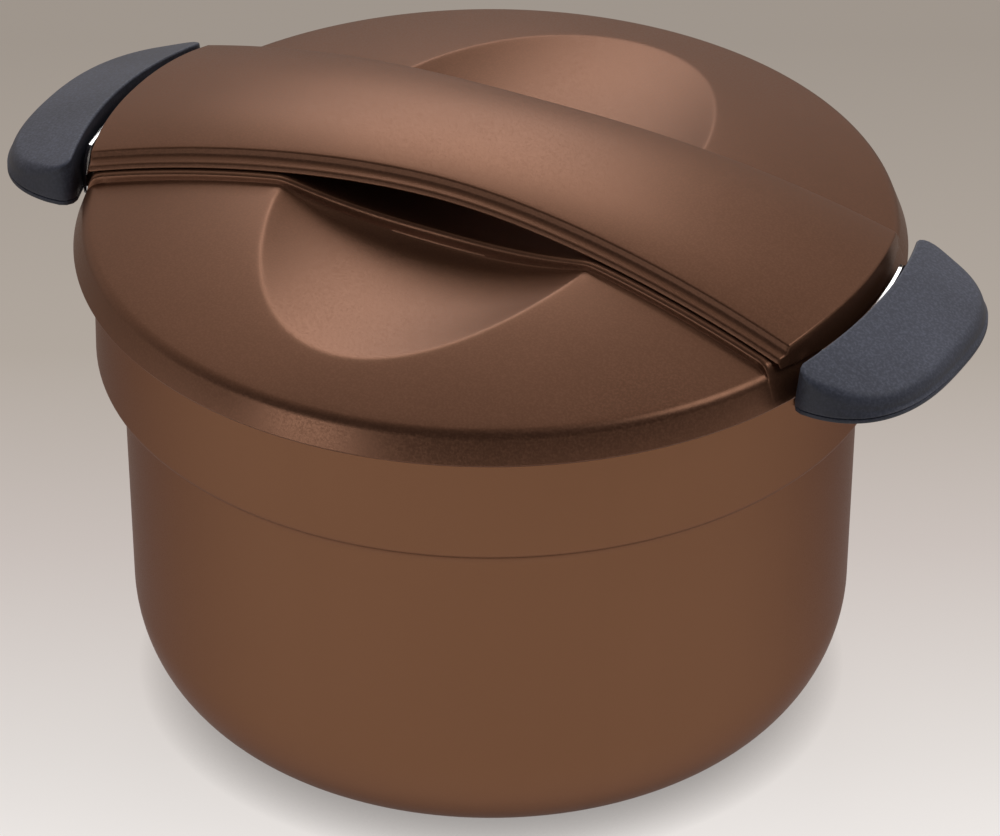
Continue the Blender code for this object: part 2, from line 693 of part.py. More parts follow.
def bridge_solid(name, inset, drop, group, material=None):
    """The bridge drawn in by a wall, its lower side let down by a drop."""
    stations = []
    for x in stations_along(BRIDGE_END_R + OVERRUN, 16):
        stations.append(bridge_section(x, inset, bridge_edge_z(x) - drop))
    body = loft(name, stations, material, group)
    top = DECK_ARCH_TOP_Z + BRIDGE_RISE + BRIDGE_CROWN + CROWN_GAIN + OVERRUN
    end = rods(name + "_end", [(0.0, 0.0)], BRIDGE_END_R - inset, LIP_Z, top, None, CUTTERS,
               ROUND_STEPS)
    keep(body, end)
    return body


def boss_places():
    return [(sx * BOSS_X, sy * BOSS_Y) for sx in (-1, 1) for sy in (-1, 1)]


def lid_bridge():
    """Hollow moulding with four bosses that stand on the deck."""
    bridge = bridge_solid("lid_bridge", 0.0, 0.0, PARTS, BROWN_PLASTIC)
    hollow = bridge_solid("bridge_hollow", BRIDGE_WALL, OVERRUN, CUTTERS)
    bosses = bridge_solid("bridge_bosses", BRIDGE_WALL / 2.0, BRIDGE_LIFT - CLEAR, CUTTERS)
    cores = rods("boss_cores", boss_places(), BOSS_R, LIP_Z, DECK_ARCH_TOP_Z, None, CUTTERS)
    keep(bosses, cores)
    cut(bridge, hollow)
    join(bridge, bosses)
    return bridge


def lid_screws(bridge, cover):
    under = deck_z(BOSS_X + SCREW_HEAD_R) - LID_WALL - CLEAR
    holes = rods("lid_screw_holes", boss_places(), LID_SCREW_R + CLEAR, under - OVERRUN,
                 under + LID_SCREW_LENGTH + CLEAR, None, CUTTERS)
    cut(bridge, holes)
    cut(cover, holes)
    for label, place in zip("abcd", boss_places()):
        screw("lid_screw_" + label, place, LID_SCREW_R, under, LID_SCREW_LENGTH)


def lid_liner():
    """Sheet that closes the lid from below, from the rim seat to the well over the knob."""
    seat = RIM_Z + CLEAR
    profile = [(LINER_FLANGE_R, seat), (LINER_PLUG_R, seat),
               (LINER_PLUG_R, LINER_PLUG_Z + LINER_WALL), (LINER_PLUG_R - LINER_WALL, LINER_PLUG_Z),
               (KNOB_WELL_R + LINER_WALL, LINER_PLUG_Z), (KNOB_WELL_R, KNOB_WELL_TOP_Z - LINER_WALL),
               (0.0, KNOB_WELL_TOP_Z - LINER_WALL)]
    return turned("lid_liner", profile, LINER_PLASTIC, False, LINER_WALL)


def foam_ring():
    floor = LINER_PLUG_Z + LINER_WALL + CLEAR
    inner = KNOB_WELL_R + 2.5 * LINER_WALL + CLEAR
    outer = LINER_PLUG_R - 1.5 * LINER_WALL - CLEAR
    profile = [(inner, FOAM_TOP_Z), (FOAM_EDGE_R - (FOAM_TOP_Z - FOAM_EDGE_Z), FOAM_TOP_Z),
               (FOAM_EDGE_R, FOAM_EDGE_Z), (outer, FOAM_EDGE_Z - LINER_WALL),
               (outer, floor), (inner, floor)]
    return turned("insulation_ring", profile, FOAM)


# Cooking pot

def pot_floor_z():
    return CAVITY_FLOOR_Z + CLEAR + SHEET + CLEAR + CORE_THICK + CLEAR


def pot_body():
    low = pot_floor_z()
    under = POT_RIM_Z - SHEET
    profile = [(POT_R + 2.0 * POT_RIM_CURL, under - POT_RIM_CURL),
               (POT_R + 1.6 * POT_RIM_CURL, under),
               (POT_R + 0.6 * POT_RIM_CURL, under),
               (POT_R, under - 1.5 * POT_RIM_CURL)]
    profile += arc(POT_R - POT_CORNER, low + POT_CORNER, POT_CORNER, POT_CORNER, 0.0, -90.0, 3)
    profile.append((0.0, low))
    return turned("pot_body", profile, STEEL, False, SHEET)


def pot_base():
    top = pot_floor_z() - CLEAR
    low = top - CORE_THICK
    profile = [(0.0, top), (POT_FLAT_R, top), (POT_FLAT_R, low), (0.0, low)]
    turned("pot_base_core", profile, ALUMINIUM, False)
    cap_r = POT_FLAT_R + CLEAR + SHEET
    cap = [(cap_r, low - CLEAR - SHEET + CAP_RISE), (cap_r, low - CLEAR),
           (cap_r - SHEET, low - CLEAR - SHEET), (0.0, low - CLEAR - SHEET)]
    turned("pot_base_cap", cap, STEEL, False, SHEET)


def sector(name, inner, outer, low, high, half_width, material=None, group=None):
    """A block bent round the pot wall, on +X."""
    count = 6
    half_angle = math.asin(half_width / outer)
    plan = []
    for i in range(count + 1):
        angle = half_angle * (1.0 - 2.0 * i / count)
        plan.append((inner * math.cos(angle), inner * math.sin(angle)))
    for i in range(count + 1):
        angle = half_angle * (2.0 * i / count - 1.0)
        plan.append((outer * math.cos(angle), outer * math.sin(angle)))
    return plate(name, plan, low, high, material, group)


def level_rod(name, low_x, high_x, z, radius, material=None, group=None, head=None):
    """A cylinder along X at Y = 0, with an optional head (radius, depth) at its far end."""
    profile = [(0.0, high_x), (radius, high_x), (radius, low_x), (0.0, low_x)]
    if head is not None:
        head_r, depth = head
        profile = [(0.0, high_x), (head_r, high_x), (head_r, high_x - depth),
                   (radius, high_x - depth), (radius, low_x), (0.0, low_x)]
    piece = turned(name, profile, material, False, 0.0, group, SMALL_STEPS)
    piece.rotation_euler = (0.0, math.radians(90.0), 0.0)
    piece.location = (0.0, 0.0, z)
    return piece


def pot_tab(side, angle):
    """Welded steel plate, moulded tab and screw of one side handle of the pot."""
    plate_in = POT_R + CLEAR
    plate_out = plate_in + POT_PLATE_THICK
    tab_in = plate_out + CLEAR
    steel = sector("pot_handle_plate_" + side, plate_in, plate_out, POT_PLATE_LOW_Z,
                   POT_TAB_TOP_Z - CLEAR, POT_PLATE_HALF, STEEL)
    tab = sector("pot_handle_" + side, tab_in, POT_TAB_R, POT_TAB_LOW_Z, POT_TAB_TOP_Z,
                 POT_TAB_HALF, BLACK_PLASTIC)
    middle = (POT_TAB_LOW_Z + POT_TAB_TOP_Z) / 2.0
    head_out = POT_TAB_R - 1.5 * SHEET
    hole = level_rod("pot_screw_hole_" + side, plate_in - CLEAR / 2.0, POT_TAB_R + OVERRUN, middle,
                     POT_SCREW_R + CLEAR, None, CUTTERS)
    recess = level_rod("pot_screw_recess_" + side, head_out - POT_SCREW_HEAD_HEIGHT - CLEAR,
                       POT_TAB_R + OVERRUN, middle, POT_SCREW_HEAD_R + CLEAR, None, CUTTERS)
    screw = level_rod("pot_handle_screw_" + side, plate_in + CLEAR, head_out, middle,
                      POT_SCREW_R, STEEL, None, (POT_SCREW_HEAD_R, POT_SCREW_HEAD_HEIGHT))
    cut(steel, hole)
    cut(tab, hole)
    cut(tab, recess)
    for piece in (steel, tab):
        piece.rotation_euler = (0.0, 0.0, math.radians(angle))
    for piece in (hole, recess, screw):
        piece.rotation_euler = (0.0, math.radians(90.0), math.radians(angle))


# Glass pot lid

def glass_z(radius):
    """Underside of the glass."""
    return GLASS_EDGE_Z + GLASS_RISE * (1.0 - (radius / GLASS_R) ** 2)


def pot_lid():
    count = 4
    bore = KNOB_SCREW_R + CLEAR
    radii = [bore + (GLASS_R - bore) * i / count for i in range(count + 1)]
    profile = [(r, glass_z(r) + GLASS_THICK) for r in radii]
    profile += [(r, glass_z(r)) for r in reversed(radii)]
    glass = turned("pot_lid_glass", profile, GLASS)
    edge = GLASS_R + CLEAR
    low = GLASS_EDGE_Z - CLEAR
    top = GLASS_EDGE_Z + GLASS_THICK + CLEAR + GLASS_RISE * BAND_LAP * 2.0 / GLASS_R
    lap = edge - BAND_LAP
    seat = POT_RIM_Z + CLEAR
    profile = [(lap, top + BAND_WALL), (edge + BAND_WALL / 2.0, top + BAND_WALL),
               (edge + BAND_WALL, top + BAND_WALL / 2.0), (edge + BAND_WALL, seat + BAND_WALL),
               (edge + BAND_SEAT, seat + BAND_WALL), (edge + BAND_SEAT, seat),
               (edge + BAND_WALL, seat), (edge + BAND_WALL, seat - BAND_SKIRT),
               (edge, seat - BAND_SKIRT), (edge, low - BAND_WALL), (lap, low - BAND_WALL),
               (lap, low), (edge, low), (edge, top), (lap, top)]
    turned("pot_lid_band", profile, STEEL)
    return glass


def knob_set():
    base = glass_z(0.0) + GLASS_THICK + CLEAR
    bore = KNOB_SCREW_R + CLEAR
    turned("knob_ferrule", [(FERRULE_R - FERRULE_THICK, base + FERRULE_THICK),
                            (FERRULE_R, base + FERRULE_THICK / 2.0), (FERRULE_R, base),
                            (bore, base), (bore, base + FERRULE_THICK)], STEEL)
    foot = KNOB_FOOT_Z
    top = KNOB_TOP_Z
    head = top - KNOB_HEAD_THICK
    screw_top = foot + KNOB_SCREW_LENGTH / 2.0
    profile = [(0.0, top), (KNOB_R * 0.6, top - KNOB_HEAD_THICK * 0.1),
               (KNOB_R * 0.92, top - KNOB_HEAD_THICK * 0.4), (KNOB_R, head + KNOB_HEAD_THICK * 0.2),
               (KNOB_R * 0.9, head), (KNOB_NECK_R, head - KNOB_HEAD_THICK * 0.4),
               (KNOB_NECK_R, foot + KNOB_HEAD_THICK * 0.4), (FERRULE_R - FERRULE_THICK, foot),
               (bore, foot), (bore, screw_top + CLEAR), (0.0, screw_top + CLEAR)]
    turned("pot_lid_knob", profile, BLACK_PLASTIC, False, 0.0, None, 24)
    under = glass_z(0.0) - CLEAR
    turned("knob_washer", [(WASHER_R, under), (WASHER_R, under - WASHER_THICK),
                           (bore, under - WASHER_THICK), (bore, under)], SILICONE,
           True, 0.0, None, SMALL_STEPS)
    head_top = under - WASHER_THICK - CLEAR
    turned("knob_screw", [(0.0, screw_top), (KNOB_SCREW_R, screw_top), (KNOB_SCREW_R, head_top),
                          (SCREW_HEAD_R * 1.3, head_top),
                          (SCREW_HEAD_R * 1.3, head_top - SCREW_HEAD_HEIGHT),
                          (0.0, head_top - SCREW_HEAD_HEIGHT)],
           STEEL, False, 0.0, None, SMALL_STEPS)


def steam_vent(glass):
    hole = rods("vent_hole", [(VENT_X, 0.0)], VENT_TUBE_R + CLEAR, GLASS_EDGE_Z - OVERRUN,
                GLASS_EDGE_Z + GLASS_RISE + GLASS_THICK + OVERRUN, None, CUTTERS)
    cut(glass, hole)
    upper = glass_z(VENT_X - VENT_FLANGE_R) + GLASS_THICK + CLEAR
    lower = glass_z(VENT_X + VENT_FLANGE_R) - CLEAR
    profile = [(VENT_FLANGE_R, upper + VENT_FLANGE_THICK), (VENT_FLANGE_R, upper),
               (VENT_TUBE_R, upper), (VENT_TUBE_R, lower), (VENT_FLANGE_R, lower),
               (VENT_FLANGE_R, lower - VENT_FLANGE_THICK), (VENT_BORE, lower - VENT_FLANGE_THICK),
               (VENT_BORE, upper + VENT_FLANGE_THICK)]
    turned("steam_vent", profile, SILICONE, True, 0.0, None, SMALL_STEPS, (VENT_X, 0.0))


outer_shell()
inner_wall()
foil_wrap()
seal_plug()
base_cover()
foot_ring()
handle_side("right", 0.0)
handle_side("left", 180.0)
lid_screws(lid_bridge(), lid_cover())
lid_liner()
foam_ring()
pot_body()
pot_base()
pot_tab("right", 0.0)
pot_tab("left", 180.0)
steam_vent(pot_lid())
knob_set()
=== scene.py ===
"""Looks of the thermal cooker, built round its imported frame.  Profiles are written in
millimetres as (radius, height) and become metres when a mesh is made."""

import math

import bpy
import bmesh
from mathutils import Matrix, Vector


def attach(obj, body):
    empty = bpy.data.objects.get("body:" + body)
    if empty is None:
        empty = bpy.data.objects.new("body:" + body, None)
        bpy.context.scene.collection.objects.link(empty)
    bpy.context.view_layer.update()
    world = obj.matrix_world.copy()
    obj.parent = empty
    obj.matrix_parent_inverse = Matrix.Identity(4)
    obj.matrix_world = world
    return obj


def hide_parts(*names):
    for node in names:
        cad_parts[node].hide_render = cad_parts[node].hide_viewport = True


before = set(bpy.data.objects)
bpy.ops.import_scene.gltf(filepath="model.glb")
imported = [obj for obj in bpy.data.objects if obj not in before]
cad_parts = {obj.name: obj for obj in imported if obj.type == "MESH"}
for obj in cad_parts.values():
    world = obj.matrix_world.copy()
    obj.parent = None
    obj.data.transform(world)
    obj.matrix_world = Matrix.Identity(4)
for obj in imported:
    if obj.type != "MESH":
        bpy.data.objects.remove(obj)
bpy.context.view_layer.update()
scene = bpy.context.scene
scene.view_settings.view_transform = "Standard"


# ---- Camera -------------------------------------------------------------------------
# A long lens from the front right and well above, as a product picture is taken.  The
# place and the lens were fitted to the outlines of lid, wells and body.

camera = bpy.data.objects.new("camera", bpy.data.cameras.new("camera"))
azimuth, elevation = math.radians(27.913), math.radians(32.808)
aim, distance = Vector((0.0, 0.0, 0.0985)), 3.0
towards_camera = Vector((math.sin(azimuth) * math.cos(elevation),
                         -math.cos(azimuth) * math.cos(elevation), math.sin(elevation)))
camera.data.lens, camera.data.sensor_width, camera.data.shift_x = 317.73, 36.0, 0.00915
camera.location = aim + towards_camera * distance
camera.rotation_euler = (-towards_camera).to_track_quat("-Z", "Y").to_euler()
scene.collection.objects.link(camera)
scene.camera = camera


# ---- Floor and light ----------------------------------------------------------------
# A pale sheet of paper that darkens away from the camera, in a room that is pale behind and
# dark on the camera's side, with soft boxes low behind, on the right and at the left front.

def set_inputs(node, values):
    """The node, with values for some of its inputs."""
    for name, value in values.items():
        node.inputs[name].default_value = value
    return node


def added(tree, kind, values=None, **settings):
    """A new node in a tree, with its settings and the values of its inputs."""
    node = tree.nodes.new(kind)
    for name, value in settings.items():
        setattr(node, name, value)
    return set_inputs(node, values or {})


def wire(tree, *runs):
    """Links nodes in runs that read: node, "its output > input of the next", node."""
    for run in runs:
        for source, way, target in zip(run[0::2], run[1::2], run[2::2]):
            out, into = way.split(" > ")
            tree.links.new(source.outputs[out],
                           target.inputs[int(into) if into.isdigit() else into])


floor_mesh = bpy.data.meshes.new("table")
floor_mesh.from_pydata([(-6, -6, 0), (6, -6, 0), (6, 6, 0), (-6, 6, 0)], [], [(0, 1, 2, 3)])
floor = bpy.data.objects.new("table", floor_mesh)
scene.collection.objects.link(floor)

table_paper = bpy.data.materials.new("table_paper")
table_paper.use_nodes = True
tree = table_paper.node_tree
matt = set_inputs(tree.nodes["Principled BSDF"], {"Roughness": 0.9, "Specular IOR Level": 0.1})
place, split = added(tree, "ShaderNodeTexCoord"), added(tree, "ShaderNodeSeparateXYZ")
turn = added(tree, "ShaderNodeMapping", {"Rotation": (0.0, 0.0, -azimuth)})
span = added(tree, "ShaderNodeMapRange", {"From Min": -0.110, "From Max": 0.420})
fade = added(tree, "ShaderNodeValToRGB")
for stop, colour in ((0.10, (0.750, 0.712, 0.684)), (0.34, (0.575, 0.520, 0.490)),
                     (0.58, (0.423, 0.376, 0.332))):
    fade.color_ramp.elements.new(stop).color = (*colour, 1.0)
fade.color_ramp.elements[0].color = (0.840, 0.805, 0.780, 1.0)
fade.color_ramp.elements[-1].color = (0.332, 0.292, 0.255, 1.0)
# Ambient occlusion darkens the floor's glow next to the cooker: a painted contact shadow, mixed in
# at 0.6.
painted_contact_shadow = added(tree, "ShaderNodeAmbientOcclusion", {"Distance": 0.016}, samples=4)
contact_shadow_mix = added(tree, "ShaderNodeMix", {"Factor": 0.6}, data_type="RGBA")
glow = added(tree, "ShaderNodeEmission", {"Strength": 1.22})
seen = added(tree, "ShaderNodeLightPath")
either = added(tree, "ShaderNodeMath", operation="MAXIMUM")
part = added(tree, "ShaderNodeMath", {1: 0.75}, operation="MULTIPLY")
paper = added(tree, "ShaderNodeMixShader")
wire(tree, (place, "Object > Vector", turn, "Vector > Vector", split, "Y > Value", span,
            "Result > Fac", fade, "Color > Color", painted_contact_shadow, "Color > B", contact_shadow_mix,
            "Result > Color", glow, "Emission > 2", paper, "Shader > Surface",
            tree.nodes["Material Output"]),
     (fade, "Color > Base Color", matt, "BSDF > 1", paper), (fade, "Color > A", contact_shadow_mix),
     (seen, "Is Camera Ray > 0", either, "Value > 0", part, "Value > Fac", paper),
     (seen, "Is Glossy Ray > 1", either))
floor_mesh.materials.append(table_paper)

room = bpy.data.worlds.new("room")
room.use_nodes = True
tree = room.node_tree
way = added(tree, "ShaderNodeTexCoord")
along = added(tree, "ShaderNodeVectorMath", {1: (math.sin(azimuth), -math.cos(azimuth), 0.0)},
              operation="DOT_PRODUCT")
depth = added(tree, "ShaderNodeMapRange", {"From Min": -0.75, "From Max": 0.40},
              interpolation_type="SMOOTHSTEP")
walls = added(tree, "ShaderNodeValToRGB")
walls.color_ramp.elements[0].color = (0.57, 0.52, 0.48, 1.0)
walls.color_ramp.elements[1].color = (0.075, 0.07, 0.075, 1.0)
wire(tree, (way, "Generated > 0", along, "Value > Value", depth, "Result > Fac", walls,
            "Color > Color", set_inputs(tree.nodes["Background"], {"Strength": 1.0})))
scene.world = room

for name, spot, height, size, watts in (
        ("box_behind", (-1.05, 1.76, 1.75), 0.15, (1.0, 1.4), 11.0),
        ("box_right", (1.25, 0.45, 1.75), 0.15, (0.9, 0.9), 7.5),
        ("box_left_front", (-0.70, -2.09, 0.36), 0.17, (0.95, 0.36), 4.0)):
    lamp = bpy.data.objects.new(name, bpy.data.lights.new(name, "AREA"))
    lamp.data.shape = "RECTANGLE"
    lamp.data.size, lamp.data.size_y = size
    lamp.data.energy = watts
    lamp.location = spot
    lamp.rotation_euler = (Vector((0.0, 0.0, height)) - Vector(spot)).to_track_quat(
        "-Z", "Y").to_euler()
    scene.collection.objects.link(lamp)


# ---- Outer shell --------------------------------------------------------------------
# The container's outer wall: drawn steel sheet with a wider collar at the top, stepped in
# to the body, rolled under at the foot, and finished in a satin brown stove enamel.

SHEET = 0.8
RIM_Z, SHELL_TOP_Z = 174.5, 173.4
COLLAR_R, BODY_TOP_R, BODY_LOW_R = 133.3, 124.3, 122.3
COLLAR_BASE_Z = 131.96
TURN_FACETS = 160
WELD, SLIVER = 0.000004, 0.000001


def rounded(points, steps=5):
    """A profile whose corners (radius, height, round) are turned into arcs."""
    line = []
    for i, point in enumerate(points):
        corner = Vector(point[:2])
        size = point[2] if len(point) > 2 else 0.0
        if not size or i in (0, len(points) - 1):
            line.append(tuple(corner))
            continue
        before = (Vector(points[i - 1][:2]) - corner).normalized()
        after = (Vector(points[i + 1][:2]) - corner).normalized()
        half = before.angle(after) / 2.0
        reach = size / math.tan(half)
        middle = corner + (before + after).normalized() * (size / math.sin(half))
        start, finish = (corner + before * reach - middle, corner + after * reach - middle)
        sweep = math.pi - 2.0 * half
        for k in range(steps + 1):
            share = k / steps
            arm = (start * math.sin((1.0 - share) * sweep) + finish * math.sin(share * sweep))
            line.append(tuple(middle + arm / math.sin(sweep)))
    return line


def looped(points, steps):
    """A closed section with its corners (radius, height, round) turned into arcs."""
    (r, z), (last_r, last_z) = points[0][:2], points[-1][:2]
    middle = ((r + last_r) / 2.0, (z + last_z) / 2.0)
    return rounded([middle, *points, middle], steps)[:-1]


def walled(line, wall):
    """A closed section: the line and its copy a wall's thickness to the left of its travel."""
    other = []
    for i, point in enumerate(line):
        here = Vector(point)
        steps = [Vector(b) - Vector(a) for a, b in zip(line[max(i - 1, 0):i + 1],
                                                       line[max(i, 1):i + 2])]
        lefts = [Vector((-step.y, step.x)).normalized() for step in steps]
        across = (lefts[0] + lefts[-1]).normalized()
        across = across * (wall / max(across.dot(lefts[0]), 0.4))
        other.append((max(here.x + across.x, 0.0) if here.x > 0.01 else 0.0, here.y + across.y))
    return line + other[::-1]


def ellipse_arc(centre, size, start, end, count):
    """Points of an arc between two angles in degrees."""
    angles = [math.radians(start + (end - start) * i / count) for i in range(count + 1)]
    return [(centre[0] + size[0] * math.cos(a), centre[1] + size[1] * math.sin(a)) for a in angles]


def node_group(name, kind, inputs, outputs):
    """A node group, its input and output nodes, and its sockets' identifiers by name."""
    group, keys = bpy.data.node_groups.new(name, kind), {}
    for way, sockets in (("INPUT", inputs), ("OUTPUT", outputs)):
        for socket, value in sockets.items():
            keys[socket] = group.interface.new_socket(
                socket, in_out=way, socket_type="NodeSocket" + value).identifier
    return group, added(group, "NodeGroupInput"), added(group, "NodeGroupOutput"), keys


def turning_group():
    """Geometry nodes that turn a profile in the XY plane round the Z axis."""
    group, given, made, keys = node_group(
        "turned_round", "GeometryNodeTree",
        {"Profile": "Geometry", "Facets": "Int", "Finish": "Material"}, {"Piece": "Geometry"})
    outline = added(group, "GeometryNodeMeshToCurve")
    circle = added(group, "GeometryNodeCurvePrimitiveCircle", {"Radius": 1.0})
    upright = added(group, "GeometryNodeSetCurveNormal", mode="Z_UP")
    sweep = added(group, "GeometryNodeCurveToMesh")
    weld = added(group, "GeometryNodeMergeByDistance", {"Distance": WELD})
    solid = added(group, "GeometryNodeRealizeInstances")
    coat = added(group, "GeometryNodeSetMaterial")
    wire(group, (given, "Profile > Mesh", outline, "Curve > Profile Curve", sweep,
                 "Mesh > Geometry", weld, "Geometry > Geometry", solid, "Geometry > Geometry",
                 coat, "Geometry > Piece", made),
         (given, "Facets > Resolution", circle, "Curve > Curve", upright, "Curve > Curve", sweep),
         (given, "Finish > Material", coat))
    return group, keys


turned_round, TURN_KEYS = turning_group()


def plain_mesh(points, faces, material):
    """A mesh from points in millimetres."""
    mesh = bpy.data.meshes.new("plain")
    mesh.from_pydata([(x / 1000.0, y / 1000.0, z / 1000.0) for x, y, z in points], [], faces)
    mesh.materials.append(material)
    return mesh


def baked(holder, *helpers):
    """The mesh that an object's modifiers make.  It and its helpers then go."""
    for item in (holder, *helpers):
        scene.collection.objects.link(item)
    bpy.context.view_layer.update()
    shaped = holder.evaluated_get(bpy.context.evaluated_depsgraph_get())
    mesh = bpy.data.meshes.new_from_object(shaped)
    for item in (holder, *helpers):
        bpy.data.objects.remove(item, do_unlink=True)
    return mesh


def grown(holder, group, keys, values, *helpers):
    """The mesh that a geometry node group makes of an object."""
    modifier = holder.modifiers.new("maker", "NODES")
    modifier.node_group = group
    for name, value in values.items():
        modifier[keys[name]] = value
    return baked(holder, *helpers)


def section_blank(section, closed):
    """An object that holds a section's outline for the turning nodes."""
    count = len(section)
    edges = [(i, i + 1) for i in range(count - 1)] + ([(count - 1, 0)] if closed else [])
    outline = bpy.data.meshes.new("section")
    outline.from_pydata([(r / 1000.0 - 1.0, -z / 1000.0, 0.0) for r, z in section], edges, [])
    return bpy.data.objects.new("section", outline)


def turned(section, material, facets=TURN_FACETS, closed=True, centre=(0.0, 0.0)):
    """The mesh of a turned piece; an open section starts and ends on the axis."""
    mesh = grown(section_blank(section, closed), turned_round, TURN_KEYS,
                 {"Facets": facets, "Finish": material})
    mesh.transform(Matrix.Translation((centre[0] / 1000.0, centre[1] / 1000.0, 0.0)))
    return mesh


def placed(name, meshes, body, slot_name, *names, angle=35.0):
    """One object at the origin from one or more meshes, faces out and sharp edges marked.
    It rides on its body in place of the solids it stands for."""
    joined = bmesh.new()
    for mesh in meshes:
        joined.from_mesh(mesh)
    bmesh.ops.remove_doubles(joined, verts=joined.verts, dist=WELD)
    bmesh.ops.dissolve_degenerate(joined, edges=joined.edges, dist=SLIVER)
    bmesh.ops.recalc_face_normals(joined, faces=joined.faces)
    mesh = bpy.data.meshes.new(name)
    joined.to_mesh(mesh)
    joined.free()
    for face in mesh.polygons:
        face.material_index = 0
    mesh.materials.append(meshes[0].materials[0])
    mesh.shade_smooth()
    mesh.set_sharp_from_angle(angle=math.radians(angle))
    piece = bpy.data.objects.new(name, mesh)
    scene.collection.objects.link(piece)
    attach(piece, body)
    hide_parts(*names)


def grain_group():
    """Shared effect: the fine grain of a moulded or sprayed surface and its slow unevenness."""
    group, given, made, _ = node_group(
        "surface_grain", "ShaderNodeTree", {"Grain Scale": "Float", "Patch Scale": "Float"},
        dict.fromkeys(("Height", "Tone", "Gloss", "Patches"), "Float"))
    place = added(group, "ShaderNodeTexCoord")
    fine = added(group, "ShaderNodeTexNoise", {"Detail": 2.0})
    slow = added(group, "ShaderNodeTexNoise", {"Detail": 3.0})
    crisp = added(group, "ShaderNodeMapRange", {"From Min": 0.42, "From Max": 0.70})
    even = added(group, "ShaderNodeMapRange", {"From Min": 0.30, "From Max": 0.70})
    half = added(group, "ShaderNodeMath", {1: 0.45}, operation="MULTIPLY")
    blend = added(group, "ShaderNodeMath", {1: 0.55}, operation="MULTIPLY_ADD")
    wire(group, (place, "Object > Vector", fine, "Fac > Value", crisp, "Result > 0", blend,
                 "Value > Tone", made),
         (place, "Object > Vector", slow, "Fac > Value", even, "Result > 0", half, "Value > 2",
          blend),
         (given, "Grain Scale > Scale", fine, "Fac > Height", made),
         (given, "Patch Scale > Scale", slow), (crisp, "Result > Gloss", made),
         (even, "Result > Patches", made))
    return group


surface_grain = grain_group()


def finish(name, effect, settings, dark, light, roughness, spread, relief, values,
           gloss_from="Gloss"):
    """A finish whose tone, gloss and relief follow a shared effect."""
    material = bpy.data.materials.new(name)
    material.use_nodes = True
    tree = material.node_tree
    shader = set_inputs(tree.nodes["Principled BSDF"], values)
    pattern = set_inputs(added(tree, "ShaderNodeGroup", node_tree=effect), settings)
    tone = added(tree, "ShaderNodeMix", {"A": (*dark, 1.0), "B": (*light, 1.0)},
                 data_type="RGBA")
    gloss = added(tree, "ShaderNodeMapRange", {"To Min": roughness - spread,
                                               "To Max": roughness + spread})
    bump = added(tree, "ShaderNodeBump", {"Strength": 1.0, "Distance": relief})
    wire(tree, (pattern, "Tone > Factor", tone, "Result > Base Color", shader),
         (pattern, gloss_from + " > Value", gloss, "Result > Roughness", shader),
         (pattern, "Height > Height", bump, "Normal > Normal", shader))
    return material


def grained(name, dark, light, roughness, metal, grain, relief, patch=28.0, values=None):
    """A finish whose colour lies between two tones, with grain in its gloss and relief."""
    return finish(name, surface_grain, {"Grain Scale": grain, "Patch Scale": patch}, dark, light,
                  roughness, 0.06, relief, {"Metallic": metal, **(values or {})})


brown_enamel = grained("brown_enamel", (0.226, 0.108, 0.056), (0.244, 0.118, 0.063), 0.42, 0.75,
                       2400.0, 0.000010, patch=9.0,
                       values={"Specular Tint": (0.45, 0.40, 0.42, 1.0)})

STEP_ROUND, BODY_ROUND = 3.5, 8.0
SHELL_FOOT_Z, BASE_RECESS, BASE_RIM = 0.8, 3.6, 2.1
CORNER_W, CORNER_H = 35.0, 41.5
DISH_R, DISH_RISE, DISH_BORE_R = 13.0, 2.0, 3.0
SHELL_BASE_Z = SHELL_FOOT_Z + BASE_RECESS

step_sweep = math.acos(1.0 - (COLLAR_R - BODY_TOP_R) / (STEP_ROUND + BODY_ROUND))
sweep_degrees = math.degrees(step_sweep)
shell_line = [(COLLAR_R, SHELL_TOP_Z)]
shell_line += ellipse_arc((COLLAR_R - STEP_ROUND, COLLAR_BASE_Z), (STEP_ROUND, STEP_ROUND),
                          0.0, -sweep_degrees, 8)
shell_line += ellipse_arc((BODY_TOP_R + BODY_ROUND,
                           COLLAR_BASE_Z - (STEP_ROUND + BODY_ROUND) * math.sin(step_sweep)),
                          (BODY_ROUND, BODY_ROUND), 180.0 - sweep_degrees, 180.0, 8)[1:]
shell_line += ellipse_arc((BODY_LOW_R - CORNER_W, SHELL_FOOT_Z + CORNER_H), (CORNER_W, CORNER_H),
                          0.0, -90.0, 28)
foot_r = BODY_LOW_R - CORNER_W - BASE_RIM
shell_line += rounded([
    (foot_r + 1.0, SHELL_FOOT_Z), (foot_r, SHELL_FOOT_Z, 0.6), (foot_r - SHEET, SHELL_BASE_Z, 0.8),
    (DISH_R, SHELL_BASE_Z, 1.0), (DISH_R - DISH_RISE, SHELL_BASE_Z + DISH_RISE, 1.0),
    (DISH_BORE_R, SHELL_BASE_Z + DISH_RISE)])
placed("painted_shell", [turned(walled(shell_line, -SHEET), brown_enamel)],
       "container", "brown_paint", "outer_shell")


# ---- Inner wall ---------------------------------------------------------------------
# The pot stands in a deep-drawn stainless steel wall.  A ledge under the collar carries
# the pot's handles, and the steel is rolled over the outer shell's edge at the rim.

CAVITY_R, CAVITY_COLLAR_R, CAVITY_FLOOR_Z = 116.8, 127.5, 16.0
LEDGE_TOP_Z, LEDGE_LOW_Z, ROLL_DROP = 134.96, 128.96, 3.2


